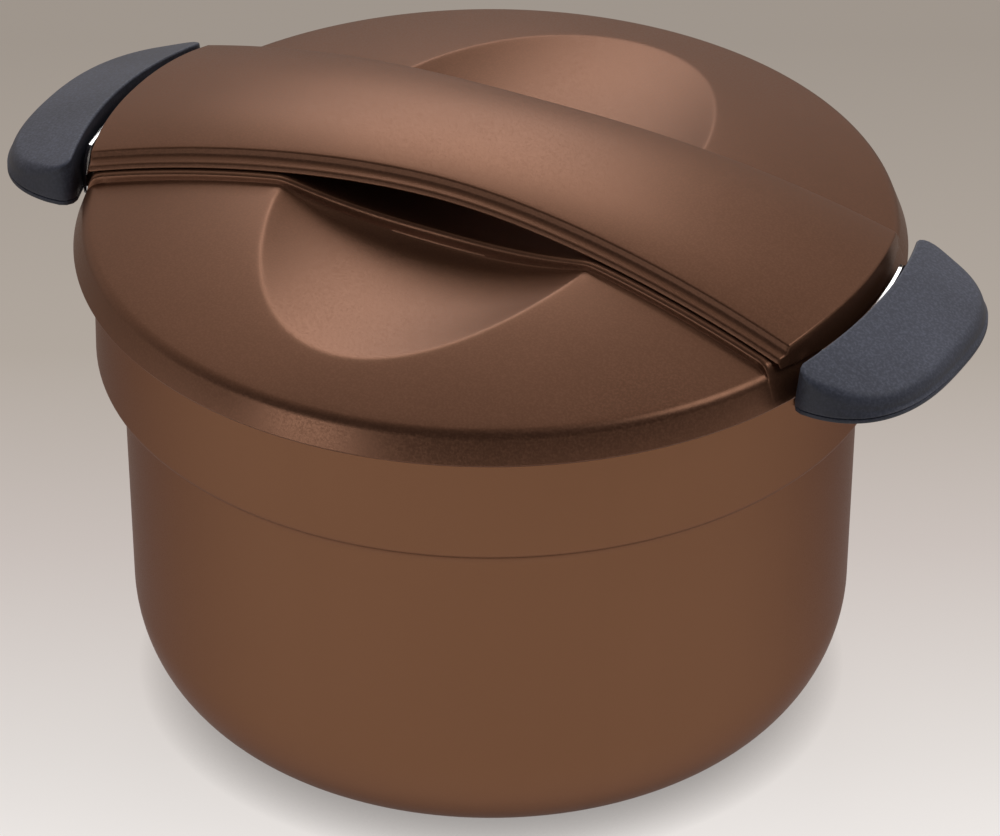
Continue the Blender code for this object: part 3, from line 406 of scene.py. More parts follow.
def brushing_group():
    """Shared effect: fine rings left by polishing a turning piece."""
    group, given, made, _ = node_group("turned_brushing", "ShaderNodeTree", {"Lines": "Float"},
                                       dict.fromkeys(("Height", "Tone", "Gloss"), "Float"))
    place, split = added(group, "ShaderNodeTexCoord"), added(group, "ShaderNodeSeparateXYZ")
    flat, profile = added(group, "ShaderNodeCombineXYZ"), added(group, "ShaderNodeCombineXYZ")
    out = added(group, "ShaderNodeVectorMath", operation="LENGTH")
    slow = added(group, "ShaderNodeTexNoise", {"Scale": 14.0})
    drift = added(group, "ShaderNodeMath", {1: 0.004}, operation="MULTIPLY")
    fine = added(group, "ShaderNodeTexNoise", {"Detail": 3.0})
    streak = added(group, "ShaderNodeMapRange", {"From Min": 0.35, "From Max": 0.65})
    wire(group, (place, "Object > Vector", split, "X > X", flat, "Vector > 0", out, "Value > X",
                 profile, "Vector > Vector", fine, "Fac > Value", streak, "Result > Tone", made),
         (split, "Y > Y", flat), (split, "Z > Y", profile),
         (place, "Object > Vector", slow, "Fac > 0", drift, "Value > Z", profile),
         (given, "Lines > Scale", fine, "Fac > Height", made), (streak, "Result > Gloss", made))
    return group


turned_brushing = brushing_group()


def brushed(name, dark, light, roughness, lines, relief, spread=0.08):
    """A metal with polishing rings in its tone, gloss and relief."""
    return finish(name, turned_brushing, {"Lines": lines}, dark, light, roughness, spread, relief,
                  {"Metallic": 1.0})


satin_steel = brushed("satin_steel", (0.54, 0.53, 0.51), (0.66, 0.65, 0.63), 0.28, 1500.0,
                      0.000004)
roll_r = COLLAR_R + 0.3 + SHEET
wall_line = rounded([
    (0.0, CAVITY_FLOOR_Z), (CAVITY_R, CAVITY_FLOOR_Z, 20.0), (CAVITY_R, LEDGE_LOW_Z, 2.5),
    (CAVITY_COLLAR_R, LEDGE_TOP_Z, 2.0), (CAVITY_COLLAR_R, RIM_Z, 1.2), (roll_r, RIM_Z, 1.2),
    (roll_r, RIM_Z - ROLL_DROP)], 8)
placed("steel_inner_wall", [turned(walled(wall_line, -SHEET), satin_steel, closed=False)],
       "container", "brushed_steel", "inner_wall")


# ---- Foil and seal in the vacuum ----------------------------------------------------
# Copper foil round the inner wall turns heat back, and a steel plug closes the hole that
# the space was emptied through.  Both are sealed in and keep their own solids.

copper_foil = grained("copper_foil", (0.72, 0.36, 0.22), (0.84, 0.47, 0.32), 0.22, 1.0, 160.0,
                      0.00018, patch=40.0)
for material, name in ((copper_foil, "foil_wrap"), (satin_steel, "seal_plug")):
    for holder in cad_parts[name].material_slots:
        holder.material = material


# ---- Base and foot ------------------------------------------------------------------
# A moulded disc closes the recess under the shell.  A rubber ring pressed into its groove
# carries the cooker just clear of the table.

DISC_R, DISC_THICK, GROOVE_DEPTH, MARK_R, MARK_WIDTH, MARK_DEPTH = 82.0, 2.0, 1.0, 56.0, 1.4, 0.35
RING_IN, RING_OUT, RING_GAP = 66.0, 74.0, 0.3
foot_rubber = grained("foot_rubber", (0.016, 0.016, 0.016), (0.028, 0.027, 0.026), 0.72, 0.0,
                      1800.0, 0.000020)
base_plastic = grained("base_plastic", (0.022, 0.023, 0.026), (0.034, 0.036, 0.040), 0.55, 0.0,
                       1700.0, 0.000014)
base_top = SHELL_BASE_Z - 0.3
base_low = base_top - DISC_THICK
base_line = [(0.0, base_top), (DISC_R, base_top, 0.6), (DISC_R, base_low, 0.5)]
for out, inner, deep in ((RING_OUT + RING_GAP, RING_IN - RING_GAP, GROOVE_DEPTH),
                         (MARK_R, MARK_R - MARK_WIDTH, MARK_DEPTH)):
    base_line += [(out, base_low, 0.3), (out, base_low + deep), (inner, base_low + deep),
                  (inner, base_low, 0.3)]
base_line = rounded(base_line + [(0.0, base_low)], 3)
placed("base_disc", [turned(base_line, base_plastic, 128, closed=False)],
       "container", "dark_plastic", "base_cover")
ring_top = base_low + GROOVE_DEPTH - RING_GAP
ring_line = looped([(RING_OUT, ring_top), (RING_OUT, 0.0, 0.9), (RING_IN, 0.0, 0.9),
                    (RING_IN, ring_top)], 4)
placed("rubber_foot", [turned(ring_line, foot_rubber, 128)], "container", "rubber", "foot_ring")


# ---- Carrying handles ---------------------------------------------------------------
# A folded strip of bright steel is welded to the collar on each side.  A moulded wing with
# a thin cover under it is screwed down on its flange, its inner edge following the lid.

LIP_Z = 169.9
GRIP_INNER_R, GRIP_INNER_HALF = 143.7, 46.4
GRIP_ROOT_STEP, GRIP_REACH, GRIP_HALF_WIDTH, GRIP_CORNER_POWER = 3.7, 34.5, 48.5, 2.6
GRIP_BASE_Z, GRIP_HEIGHT = LIP_Z - 0.7, 19.0
GRIP_CROWN, GRIP_TOP_SLOPE = 2.6, 0.377
GRIP_OUTER_ROUND, GRIP_ROUND_SHARE, GRIP_INNER_ROUND, GRIP_BLEND = 4.2, 0.85, 1.2, 16.0
GRIP_DRAFT, GRIP_FLARE, GRIP_FLARE_REACH = 0.9, 1.8, 6.0
GRIP_MIDDLE_X = GRIP_INNER_R + 15.0
UNDER_COVER = 1.5
BRACKET_R, BRACKET_THICK, BRACKET_REACH, BRACKET_DROP = 133.7, 2.0, 23.5, 8.5
FLANGE_HALF, FLANGE_CORNER = 32.0, 6.0
UPSTAND_THICK, UPSTAND_HALF, UPSTAND_TOP, UPSTAND_CORNER = 1.1, 35.5, 183.2, 7.0
UPSTAND_R = GRIP_INNER_R - 2.0
HANDLE_SCREW_X, HANDLE_SCREW_Y = GRIP_INNER_R + 6.3, 18.0
SIDES = (("right", 1.0), ("left", -1.0))


def on_side(mesh, sign):
    """The mesh for the right side, or turned half round for the left."""
    other = mesh.copy()
    if sign < 0.0:
        other.transform(Matrix.Rotation(math.pi, 4, "Z"))
    return other


def quads(runs, closed=True):
    """Faces between each run of point numbers and the next."""
    faces = []
    for near, far in zip(runs, runs[1:]):
        if closed:
            near, far = near + near[:1], far + far[:1]
        faces += zip(near, near[1:], far[1:], far)
    return faces


def numbered(count, size):
    """Point numbers of a number of runs of one size."""
    return [list(range(k * size, (k + 1) * size)) for k in range(count)]


def bent_strip(section, half_width, material, count=28):
    """A closed section (radius, height) bent round the axis and cut at a width of y."""
    points = []
    for i in range(count + 1):
        share = 2.0 * i / count - 1.0
        for r, z in section:
            y = share * half_width(r, z)
            points.append((math.sqrt(r * r - y * y), y, z))
    runs = numbered(count + 1, len(section))
    return plain_mesh(points, quads(runs) + [runs[0], runs[-1][::-1]], material)


def flat_strip(radius, thick, rows):
    """Section of an upright strip with its outer face at a radius."""
    return [(radius, z) for z in rows] + [(radius - thick, z) for z in reversed(rows)]


def corner_width(half, corner, past):
    """Half width of a strip, this far past the start of its round corner."""
    return half - corner + math.sqrt(max(corner ** 2 - max(past, 0.0) ** 2, 0.0))


bright_steel = brushed("bright_steel", (0.70, 0.70, 0.70), (0.78, 0.78, 0.78), 0.14, 900.0,
                       0.000002, spread=0.05)
bracket_top, flange_end = GRIP_BASE_Z - 0.3, BRACKET_R + BRACKET_REACH
fold = rounded([(BRACKET_R, bracket_top - BRACKET_DROP), (BRACKET_R, bracket_top, 3.0)] +
               [(flange_end - short, bracket_top) for short in (8.0, 4.0, 1.5, 0.0)], 6)
stand_rows = [bracket_top - 0.6, 173.0, 175.0] + [UPSTAND_TOP - UPSTAND_CORNER * (1.0 - math.sin(
    math.radians(11.0 * k))) for k in range(9)]
bracket = [
    bent_strip(walled(fold, -BRACKET_THICK), lambda r, z: corner_width(
        FLANGE_HALF, FLANGE_CORNER, r - flange_end + FLANGE_CORNER), bright_steel),
    bent_strip(flat_strip(UPSTAND_R, UPSTAND_THICK, stand_rows), lambda r, z: corner_width(
        UPSTAND_HALF, UPSTAND_CORNER, z - UPSTAND_TOP + UPSTAND_CORNER), bright_steel)]
for side, sign in SIDES:
    placed("steel_bracket_" + side, [on_side(mesh, sign) for mesh in bracket], "container",
           "bright_steel", "handle_bracket_" + side, angle=30.0)


def soft_corners(line):
    """The closed line drawn again with its sharp corners eased."""
    for _ in range(3):
        eased = []
        for i, point in enumerate(line):
            before, here, after = (Vector(line[i - 1]), Vector(point),
                                   Vector(line[(i + 1) % len(line)]))
            steps = here - before, after - here
            turn = steps[0].angle(steps[1], 0.0) if min(s.length for s in steps) > 1e-6 else 0.0
            eased.append(tuple(here.lerp((before + after) / 2.0, min(turn * 1.2, 0.6))))
        line = eased
    return line


def grip_outline():
    """Plan of a wing: hollow inner edge round the lid, full outer edge, corners rounded."""
    half_angle = math.asin(GRIP_INNER_HALF / GRIP_INNER_R)
    root_x = GRIP_INNER_R * math.cos(half_angle) + GRIP_ROOT_STEP
    share = 2.0 / GRIP_CORNER_POWER
    inner = [(GRIP_INNER_R * math.cos(a), GRIP_INNER_R * math.sin(a))
             for a in (half_angle * (1.0 - i / 24.0) for i in range(49))]
    outer = []
    for i in range(97):
        angle = math.radians(-90.0 + 180.0 * i / 96.0)
        across = abs(math.sin(angle)) ** share * math.copysign(1.0, math.sin(angle))
        outer.append((root_x + GRIP_REACH * max(math.cos(angle), 0.0) ** share,
                      GRIP_HALF_WIDTH * across))
    return soft_corners(inner + outer)


def wing_place(line, i):
    """Inward direction at one point of the plan, how far it is towards the outer edge, and
    how far the wing's foot stands out there towards the lid."""
    x, y = line[i]
    before, after = line[i - 1], line[(i + 1) % len(line)]
    across = Vector((after[1] - before[1], before[0] - after[0])).normalized()
    out = math.hypot(x, y) - GRIP_INNER_R
    share = min(max((out - 0.6) / GRIP_BLEND, 0.0), 1.0)
    flare = GRIP_FLARE * min(max(1.0 - out / GRIP_FLARE_REACH, 0.0), 1.0)
    return -across, share * share * (3.0 - 2.0 * share), flare


def wing_top(x, y):
    """Height of a wing's top, crowned along it and falling away from the lid."""
    return (GRIP_BASE_Z + GRIP_HEIGHT - GRIP_CROWN * (y / GRIP_INNER_HALF) ** 2 -
            GRIP_TOP_SLOPE * (math.hypot(x, y) - GRIP_INNER_R))


def stacked(rings, low, top):
    """A closed mesh over rings of one size from the lowest up, with a middle point below
    and one above at the given heights."""
    runs = numbered(len(rings), len(rings[0]))
    last, faces = runs[-1][-1], quads(runs)
    for ring, middle in ((runs[0][::-1], last + 1), (runs[-1], last + 2)):
        faces += [(a, b, middle) for a, b in zip(ring, ring[1:] + ring[:1])]
    points = [point for ring in rings for point in ring]
    return plain_mesh(points + [(GRIP_MIDDLE_X, 0.0, low), (GRIP_MIDDLE_X, 0.0, top)], faces,
                      wing_plastic)


def wing_mesh():
    """Rings of the plan up the drafted side, over the edge and in to the middle of the top."""
    line = grip_outline()
    low = GRIP_BASE_Z + UNDER_COVER + 0.3
    places = []
    for i, (x, y) in enumerate(line):
        inward, share, flare = wing_place(line, i)
        edge = GRIP_INNER_ROUND + (GRIP_OUTER_ROUND - GRIP_INNER_ROUND) * share
        drop = min(edge, GRIP_ROUND_SHARE * (wing_top(x, y) - low))
        places.append((x, y, inward, edge, drop, GRIP_DRAFT * share, flare))
    rings = []

    def ring_at(inset, height):
        ring = []
        for x, y, n, edge, drop, draft, flare in places:
            step = inset(edge, draft, flare)
            px, py = x + n.x * step, y + n.y * step
            ring.append((px, py, height(px, py, drop)))
        rings.append(ring)

    for rise, step in ((0.0, 0.35), (0.12, 0.1), (0.4, 0.0)):
        ring_at(lambda edge, draft, flare: step - flare, lambda x, y, drop: low + rise)
    for share in (0.25, 0.5, 0.75):
        ring_at(lambda edge, draft, flare: draft * share - flare * (1.0 - share),
                lambda x, y, drop: low + 0.4 + (wing_top(x, y) - drop - low - 0.4) * share)
    for k in range(10):
        turn = math.radians(10.0 * k)
        ring_at(lambda edge, draft, flare: draft + (edge - draft) * (1.0 - math.cos(turn)),
                lambda x, y, drop: wing_top(x, y) - drop * (1.0 - math.sin(turn)))
    brim = rings[-1]
    for share in (0.08, 0.2, 0.35, 0.5, 0.65, 0.8, 0.92):
        spots = [(x + (GRIP_MIDDLE_X - x) * share, y - y * share) for x, y, z in brim]
        rings.append([(x, y, wing_top(x, y)) for x, y in spots])
    return stacked(rings, low, wing_top(GRIP_MIDDLE_X, 0.0))


def cover_mesh():
    """The thin plate under a wing, with small rounds on both edges."""
    line = grip_outline()
    places = [wing_place(line, i) for i in range(len(line))]
    rings = [[(x + n.x * (step - flare), y + n.y * (step - flare), GRIP_BASE_Z + rise)
              for (x, y), (n, _, flare) in zip(line, places)]
             for rise, step in ((0.0, 0.45), (0.12, 0.15), (0.4, 0.0), (UNDER_COVER - 0.4, 0.0),
                                (UNDER_COVER - 0.12, 0.12), (UNDER_COVER, 0.4))]
    return stacked(rings, GRIP_BASE_Z, GRIP_BASE_Z + UNDER_COVER)


# The wings' colour is darkened on faces that don't look up: painted shade on their sides, where the
# top light doesn't fall.
wing_plastic = grained("wing_plastic", (0.072, 0.080, 0.110), (0.178, 0.198, 0.266), 0.52, 0.0,
                       1100.0, 0.000060, patch=16.0, values={"Specular IOR Level": 0.3})
tree = wing_plastic.node_tree
shader = tree.nodes["Principled BSDF"]
tone = shader.inputs["Base Color"].links[0].from_node
facing, split = added(tree, "ShaderNodeTexCoord"), added(tree, "ShaderNodeSeparateXYZ")
up = added(tree, "ShaderNodeMapRange", {"From Min": 0.15, "From Max": 0.85, "To Min": 0.45,
                                        "To Max": 1.0})
# Painted shade: the wing's colour is multiplied down as its faces turn away from up.
painted_side_shade = added(tree, "ShaderNodeMix", {"Factor": 1.0}, data_type="RGBA", blend_type="MULTIPLY")
wire(tree, (facing, "Normal > Vector", split, "Z > Value", up, "Result > B", painted_side_shade,
            "Result > Base Color", shader), (tone, "Result > A", painted_side_shade))
wing, under_cover = wing_mesh(), cover_mesh()
for side, sign in SIDES:
    placed("wing_grip_" + side, [on_side(wing, sign)], "container", "dark_plastic",
           "handle_grip_" + side, angle=40.0)
    placed("wing_under_cover_" + side, [on_side(under_cover, sign)], "container",
           "dark_plastic", "handle_under_cover_" + side, angle=40.0)


def screw_group():
    """Geometry nodes that put a pan head screw with a cross recess on every point."""
    group, given, made, keys = node_group(
        "pan_head_screws", "GeometryNodeTree",
        {"Places": "Geometry", "Turned Blank": "Object", "Head Radius": "Float",
         "Recess Depth": "Float", "Head Face": "Float", "Finish": "Material"},
        {"Screws": "Geometry"})
    blank = added(group, "GeometryNodeObjectInfo")
    lathe = set_inputs(added(group, "GeometryNodeGroup", node_tree=turned_round), {"Facets": 32})
    wire(group, (given, "Turned Blank > Object", blank, "Geometry > Profile", lathe),
         (given, "Finish > Finish", lathe))
    body, body_out = lathe, "Piece"
    for along, across, deep in ((1.05, 0.26, 2.0), (0.26, 1.05, 1.88)):
        size, offset = added(group, "ShaderNodeCombineXYZ"), added(group, "ShaderNodeCombineXYZ")
        for share, source, socket in ((along, "Head Radius", "X"), (across, "Head Radius", "Y"),
                                      (deep, "Recess Depth", "Z")):
            times = added(group, "ShaderNodeMath", {1: share}, operation="MULTIPLY")
            wire(group, (given, source + " > 0", times, "Value > " + socket, size))
        bar, move = added(group, "GeometryNodeMeshCube"), added(group, "GeometryNodeTransform")
        recess = added(group, "GeometryNodeMeshBoolean", operation="DIFFERENCE")
        wire(group, (size, "Vector > Size", bar, "Mesh > Geometry", move, "Geometry > Mesh 2",
                     recess), (body, body_out + " > Mesh 1", recess),
             (given, "Head Face > Z", offset, "Vector > Translation", move))
        body, body_out = recess, "Mesh"
    lean = added(group, "GeometryNodeInputNamedAttribute", {"Name": "lean"},
                 data_type="FLOAT_VECTOR")
    stand_up = added(group, "FunctionNodeEulerToRotation")
    spread = added(group, "GeometryNodeInstanceOnPoints")
    solid = added(group, "GeometryNodeRealizeInstances")
    coat = added(group, "GeometryNodeSetMaterial")
    wire(group, (lean, "Attribute > Euler", stand_up, "Rotation > Rotation", spread),
         (given, "Places > Points", spread), (given, "Finish > Material", coat),
         (body, "Mesh > Instance", spread, "Instances > Geometry", solid, "Geometry > Geometry",
          coat, "Geometry > Screws", made))
    return group, keys


pan_head_screws, SCREW_KEYS = screw_group()


def screws(name, places, leans, shank_r, length, head_r, head_height, *riding):
    """Screws whose seats lie at the given places, shank up and head down before they lean."""
    shank = [(0.0, length), (shank_r * 0.35, length), (shank_r * 0.8, length - 1.2)]
    height, pitch = length - 1.4, 0.9
    while height > 0.8:
        shank += [(shank_r, height), (shank_r * 0.84, height - pitch / 2.0)]
        height -= pitch
    blank = section_blank(shank + rounded(
        [(shank_r * 0.9, 0.5), (shank_r * 0.9, 0.0), (head_r, 0.0),
         (head_r, -head_height, head_height * 0.8), (0.0, -head_height)], 4), False)
    dots = plain_mesh(places, [], bright_steel)
    lean = dots.attributes.new("lean", "FLOAT_VECTOR", "POINT")
    for i, turn in enumerate(leans):
        lean.data[i].vector = turn
    mesh = grown(bpy.data.objects.new(name, dots), pan_head_screws, SCREW_KEYS,
                 {"Turned Blank": blank, "Head Radius": head_r / 1000.0,
                  "Recess Depth": head_height * 0.0007, "Head Face": -head_height / 1000.0,
                  "Finish": bright_steel}, blank)
    placed(name, [mesh], *riding, angle=30.0)


seat = bracket_top - BRACKET_THICK - 0.3
for side, sign in SIDES:
    screws("wing_screws_" + side, [(sign * HANDLE_SCREW_X, -HANDLE_SCREW_Y, seat),
                                   (sign * HANDLE_SCREW_X, HANDLE_SCREW_Y, seat)],
           [(0.0, 0.0, 0.6), (0.0, 0.0, 1.1)], 2.0, 12.0, 3.8, 1.8, "container", "bright_steel",
           "handle_screw_" + side + "_a", "handle_screw_" + side + "_b")


# ---- Lid cover ----------------------------------------------------------------------
# The outer lid's brown moulding: a shallow dome scooped by a lying cylinder, so that the
# scoop's rim is an ellipse, with a raised deck that crosses it and carries the bridge.

LIP_LOW_R, EDGE_R, CORNER_R, SHOULDER_R, SHEET_EDGE_R = 140.0, 137.2, 136.3, 133.8, 131.5
SHOULDER_Z, EDGE_Z, LIP_FOOT_Z = LIP_Z + 11.3, LIP_Z + 8.3, LIP_Z - 0.5
DOME_TOP_Z = SHOULDER_Z + 21.9
LID_WALL = 2.5
SCOOP_Z, SCOOP_R = DOME_TOP_Z - 15.44, 182.0
DECK_TOP_Z, DECK_FALL, DECK_STEP, DECK_CURVE_R = DOME_TOP_Z + 0.6, 21.6, 5.4, 240.0
DECK_WAIST, DECK_FLARE, DECK_KNEE, DECK_END_R, DECK_END_X = 35.5, 0.0885, 15.0, 133.0, 121.5
RIM_SOFTNESS, DECK_SOFTNESS = 0.30, 1.0
ARCH_R = (DECK_END_R ** 2 + DECK_FALL ** 2) / (2.0 * DECK_FALL)
DECK_EDGE = [(0.72 * math.sin(turn), 0.40 * (1.0 - math.cos(turn)))
             for turn in (math.radians(12.0 * k) for k in range(1, 8))]
DECK_EDGE += [(0.735, 0.55), (0.75, 0.75), (0.78, 0.92), (1.0, 1.0)]


def soft_lower(a, b, softness):
    """The lower of two heights with a rounded change between them."""
    return (a + b - math.sqrt((a - b) ** 2 + softness ** 2)) / 2.0


def waist(x, narrow, slope, knee):
    """Half width of deck or bridge, which widens from its middle to its ends."""
    return narrow + slope * (math.hypot(x, knee) - knee)


def arch_height(x):
    return DECK_TOP_Z - ARCH_R + math.sqrt(ARCH_R ** 2 - x * x)


def deck_height(x):
    inside = SCOOP_Z + DECK_STEP + DECK_CURVE_R - math.sqrt(DECK_CURVE_R ** 2 - x * x)
    return soft_lower(arch_height(x), inside, DECK_SOFTNESS)


def scoop_height(x):
    return SCOOP_Z + SCOOP_R - math.sqrt(SCOOP_R ** 2 - x * x)


def dome_height(x, y):
    return DOME_TOP_Z - (DOME_TOP_Z - SHOULDER_Z) / SHOULDER_R ** 2 * (x * x + y * y)


def lid_surface_height(x, y):
    return soft_lower(dome_height(x, y), scoop_height(x), RIM_SOFTNESS)


def deck_side(x, inset):
    """Half width of the deck, half the run of its sloping side, and the side's two heights."""
    half = waist(x, DECK_WAIST, DECK_FLARE, DECK_KNEE) + 1.1 - inset
    deck = deck_height(x)
    spread = min(0.38 * (deck - lid_surface_height(x, half)), 1.1)
    return half, spread, deck, lid_surface_height(x, half + spread)


def lid_column(x, edge_r, inset):
    """Points of one column of the lid from its middle line out to the sheet's round edge."""
    y_edge = math.sqrt(edge_r ** 2 - x * x)
    half, spread, deck, foot = deck_side(x, inset)
    column = [((half - spread) * (k / 8.0) ** 0.8, deck) for k in range(9)]
    column += [(half - spread + 2.0 * spread * out, deck - (deck - foot) * down)
               for out, down in DECK_EDGE]
    start = column[-1][0]
    gap = (DOME_TOP_Z - scoop_height(x)) * SHOULDER_R ** 2 / (DOME_TOP_Z - SHOULDER_Z) - x * x
    rim = math.sqrt(max(gap, 0.0))
    spots = [start + max(rim - 8.0 - start, 0.0) * k / 10.0 for k in range(1, 11)]
    spots += [rim + step for step in (-5.5, -3.6, -2.4, -1.6, -1.0, -0.5, 0.0, 0.5, 1.0, 1.6, 2.4,
                                      3.6, 5.5, 8.0)]
    tail = 10
    even = (y_edge - start) / (len(spots) + tail)
    least = 0.12 + (even - 0.12) * min(max((x - 57.0) / 22.0, 0.0), 1.0)
    base, last = [], start
    for y in spots:
        last = max(y, last + least)
        base.append(last)
    limit = y_edge - least * tail * 0.9
    if base[-1] > limit:
        base = [start + (y - start) * (limit - start) / (base[-1] - start) for y in base]
    last = base[-1]
    base += [last + (y_edge - last) * k / tail for k in range(1, tail + 1)]
    return column + [(y, lid_surface_height(x, y)) for y in base]


def lid_quarter(inset, skirt):
    """One quarter of a lid surface as points and faces, and the ring at its lower edge."""
    edge_r, steps, outs, wall_rows = SHEET_EDGE_R - inset, 76, 7, 20
    quarter_turn, end_turn = math.radians(90.0), math.acos((DECK_END_X - inset) / edge_r)
    points, grid = [], []

    def add(x, y, z):
        points.append((x, y, z - inset))
        return len(points) - 1

    for i in range(steps + 1):
        turn = quarter_turn + (end_turn - quarter_turn) * i / steps
        x = 0.0 if i == 0 else edge_r * math.cos(turn)
        grid.append([add(x, y, z) for y, z in lid_column(x, edge_r, inset)])
    last = lid_column(x, edge_r, inset)
    half, spread, deck, foot = deck_side(x, inset)
    for k in range(1, outs + 1):
        column = []
        for j, (y, z) in enumerate(last[:-1]):
            out = x + (math.sqrt(edge_r ** 2 - y * y) - x) * k / outs
            height = lid_surface_height(out, y)
            if j < wall_rows:
                base = lid_surface_height(out, half + spread)
                height = base + (z - foot) / (deck - foot) * (deck_height(out) - base)
            column.append(add(out, y, height))
        grid.append(column)
    faces = quads(grid, False)
    fan = [grid[i][len(last) - 2] for i in range(steps, len(grid))]
    faces += [(grid[steps][-1], near, far) for near, far in zip(fan, fan[1:])]
    ring = [column[-1] for column in grid[:steps + 1]] + grid[-1][len(last) - 2::-1]
    lifts = [points[index][2] + inset - dome_height(edge_r, 0.0) for index in ring]
    for row, (r, z) in enumerate(skirt):
        keep = max(1.0 - (row / 8.0) ** 2, 0.0)
        lower = []
        for index, lift in zip(ring, lifts):
            x, y = points[index][:2]
            far = r / math.hypot(x, y)
            lower.append(add(x * far, y * far, z + inset + lift * keep))
        faces += quads([ring, lower], False)
        ring = lower
    return points, faces, ring


edge_z = dome_height(SHEET_EDGE_R, 0.0)
outer_skirt = rounded([
    (SHEET_EDGE_R, edge_z), (CORNER_R, dome_height(CORNER_R, 0.0), 5.2),
    (LIP_LOW_R, LIP_Z + 0.3, 0.15), (LIP_LOW_R - 0.65, LIP_FOOT_Z, 0.1),
    (LIP_LOW_R - 1.0, LIP_FOOT_Z)], 8)[1:]
inner_skirt = rounded([
    (SHEET_EDGE_R - LID_WALL, edge_z - LID_WALL),
    (SHOULDER_R - LID_WALL, SHOULDER_Z - LID_WALL, 1.5),
    (EDGE_R - LID_WALL, EDGE_Z - LID_WALL / 3.0, 1.5), (LIP_LOW_R - LID_WALL, LIP_FOOT_Z, 0.4),
    (LIP_LOW_R - 1.4, LIP_FOOT_Z)], 5)[1:]
outer_points, lid_faces, outer_ring = lid_quarter(0.0, outer_skirt)
inner_points, inner_faces, inner_ring = lid_quarter(LID_WALL, inner_skirt)
shift = len(outer_points)
lid_faces += [tuple(shift + i for i in face) for face in inner_faces]
lid_faces += quads([outer_ring, [shift + i for i in inner_ring]], False)
brown_moulding = grained("brown_moulding", (0.166, 0.078, 0.044), (0.232, 0.110, 0.064), 0.38,
                         0.72, 1300.0, 0.000014, patch=11.0,
                         values={"Coat Weight": 0.03, "Coat Roughness": 0.38,
                                 "Specular Tint": (0.80, 0.74, 0.73, 1.0)})
lid_parts = [plain_mesh([(x * sx, y * sy, z) for x, y, z in outer_points + inner_points],
                        lid_faces if sx * sy > 0 else [face[::-1] for face in lid_faces],
                        brown_moulding) for sx in (1, -1) for sy in (1, -1)]
placed("moulded_lid_cover", lid_parts, "outer_lid", "brown_plastic", "lid_cover", angle=45.0)


# ---- Lid bridge ---------------------------------------------------------------------
# The lid's handle: a second brown moulding in one arch over the scoop, crowned on top,
# with a hollow shoulder down to a bead on each side, open below and screwed to the deck.

BRIDGE_END_R, BRIDGE_LIFT, BRIDGE_RISE, BRIDGE_WALL = 137.2, 0.5, 5.4, 2.6
BRIDGE_WAIST, BRIDGE_FLARE, BRIDGE_KNEE, BRIDGE_SHOULDER = 30.1, 0.096, 30.0, 5.0
BRIDGE_BEAD, CROWN, CROWN_GAIN, CROWN_POWER = 1.8, 3.0, 1.5, 2.4
BRIDGE_END_OUT, BRIDGE_END_DROP = 0.6, 1.7
BOSS_X, BOSS_Y, BOSS_R, BOSS_BORE_R, BOSS_HEIGHT = 100.0, 20.0, 5.2, 2.1, 4.6


def bridge_half(x, inset):
    """Half section at x, as (y, height over the lower edge), from the middle line outwards."""
    half = waist(x, BRIDGE_WAIST, BRIDGE_FLARE, BRIDGE_KNEE)
    crown = CROWN + CROWN_GAIN * (x / BRIDGE_END_R) ** 2
    side, top, foot = half - inset, BRIDGE_RISE - inset, half + BRIDGE_SHOULDER - inset
    line = [(side * k / 14.0, top + crown * (1.0 - (k / 14.0) ** CROWN_POWER)) for k in range(14)]
    if inset:
        line += [(side, top, 0.8), (foot, 0.3, 0.1), (foot, 0.0)]
    else:
        line += [(side, top, 1.1), (side + 1.3, BRIDGE_BEAD + 0.55, 2.4),
                 (foot - 0.7, BRIDGE_BEAD, 1.2), (foot, 0.3, 0.4), (foot, 0.0)]
    return rounded(line, 5)


def bridge_sheet(inset, points):
    """Grid of a bridge surface between its ends, closed there by a wall down to the edge."""
    end_r, stations, ease = BRIDGE_END_R - inset, 150, 0.5 if inset else 0.9
    grid = []

    def add(row):
        points.extend(row)
        return list(range(len(points) - len(row), len(points)))

    for i in range(stations + 1):
        share = math.sin(math.radians(81.0) * (2.0 * i / stations - 1.0)) / math.sin(
            math.radians(81.0))
        half_points = []
        for j in range(len(bridge_half(0.0, inset))):
            y = bridge_half(share * end_r, inset)[j][0]
            for _ in range(4):
                x = share * math.sqrt((end_r - ease) ** 2 - y * y)
                y, rise = bridge_half(x, inset)[j]
            half_points.append((x, y, arch_height(x) + BRIDGE_LIFT + rise))
        grid.append(add([(x, -y, z) for x, y, z in reversed(half_points[1:])] + half_points))
    faces, ends = quads(grid, False), []
    for column in (grid[0], grid[-1]):
        walls = [column]
        for turn in (22.5, 45.0, 67.5, 90.0, None):
            wall = []
            for x, y, z in [points[index] for index in column]:
                low = arch_height(x) + BRIDGE_LIFT
                if turn is None:
                    reach, z = (end_r, low) if inset else (end_r + BRIDGE_END_OUT,
                                                           low - BRIDGE_END_DROP)
                else:
                    reach = end_r - ease + ease * math.sin(math.radians(turn))
                    z -= min(ease, 0.5 * (z - low)) * (1.0 - math.cos(math.radians(turn)))
                wall.append((math.copysign(math.sqrt(reach * reach - y * y), x), y, z))
            walls.append(add(wall))
        faces += quads(walls, False)
        ends.append(walls)
    near, far = ends
    sides = [[wall[k] for wall in near[:0:-1]] + [column[k] for column in grid] +
             [wall[k] for wall in far[1:]] for k in (-1, 0)]
    return faces, [sides[0], far[-1][::-1], sides[1][::-1], near[-1]]


def strip(first, second):
    """Faces between two runs of points that may differ in their number."""
    faces, i, j = [], 0, 0
    while i < len(first) - 1 or j < len(second) - 1:
        if j == len(second) - 1 or (i < len(first) - 1 and
                                    (i + 1) * (len(second) - 1) <= (j + 1) * (len(first) - 1)):
            faces.append((first[i], first[i + 1], second[j]))
            i += 1
        else:
            faces.append((first[i], second[j + 1], second[j]))
            j += 1
    return faces


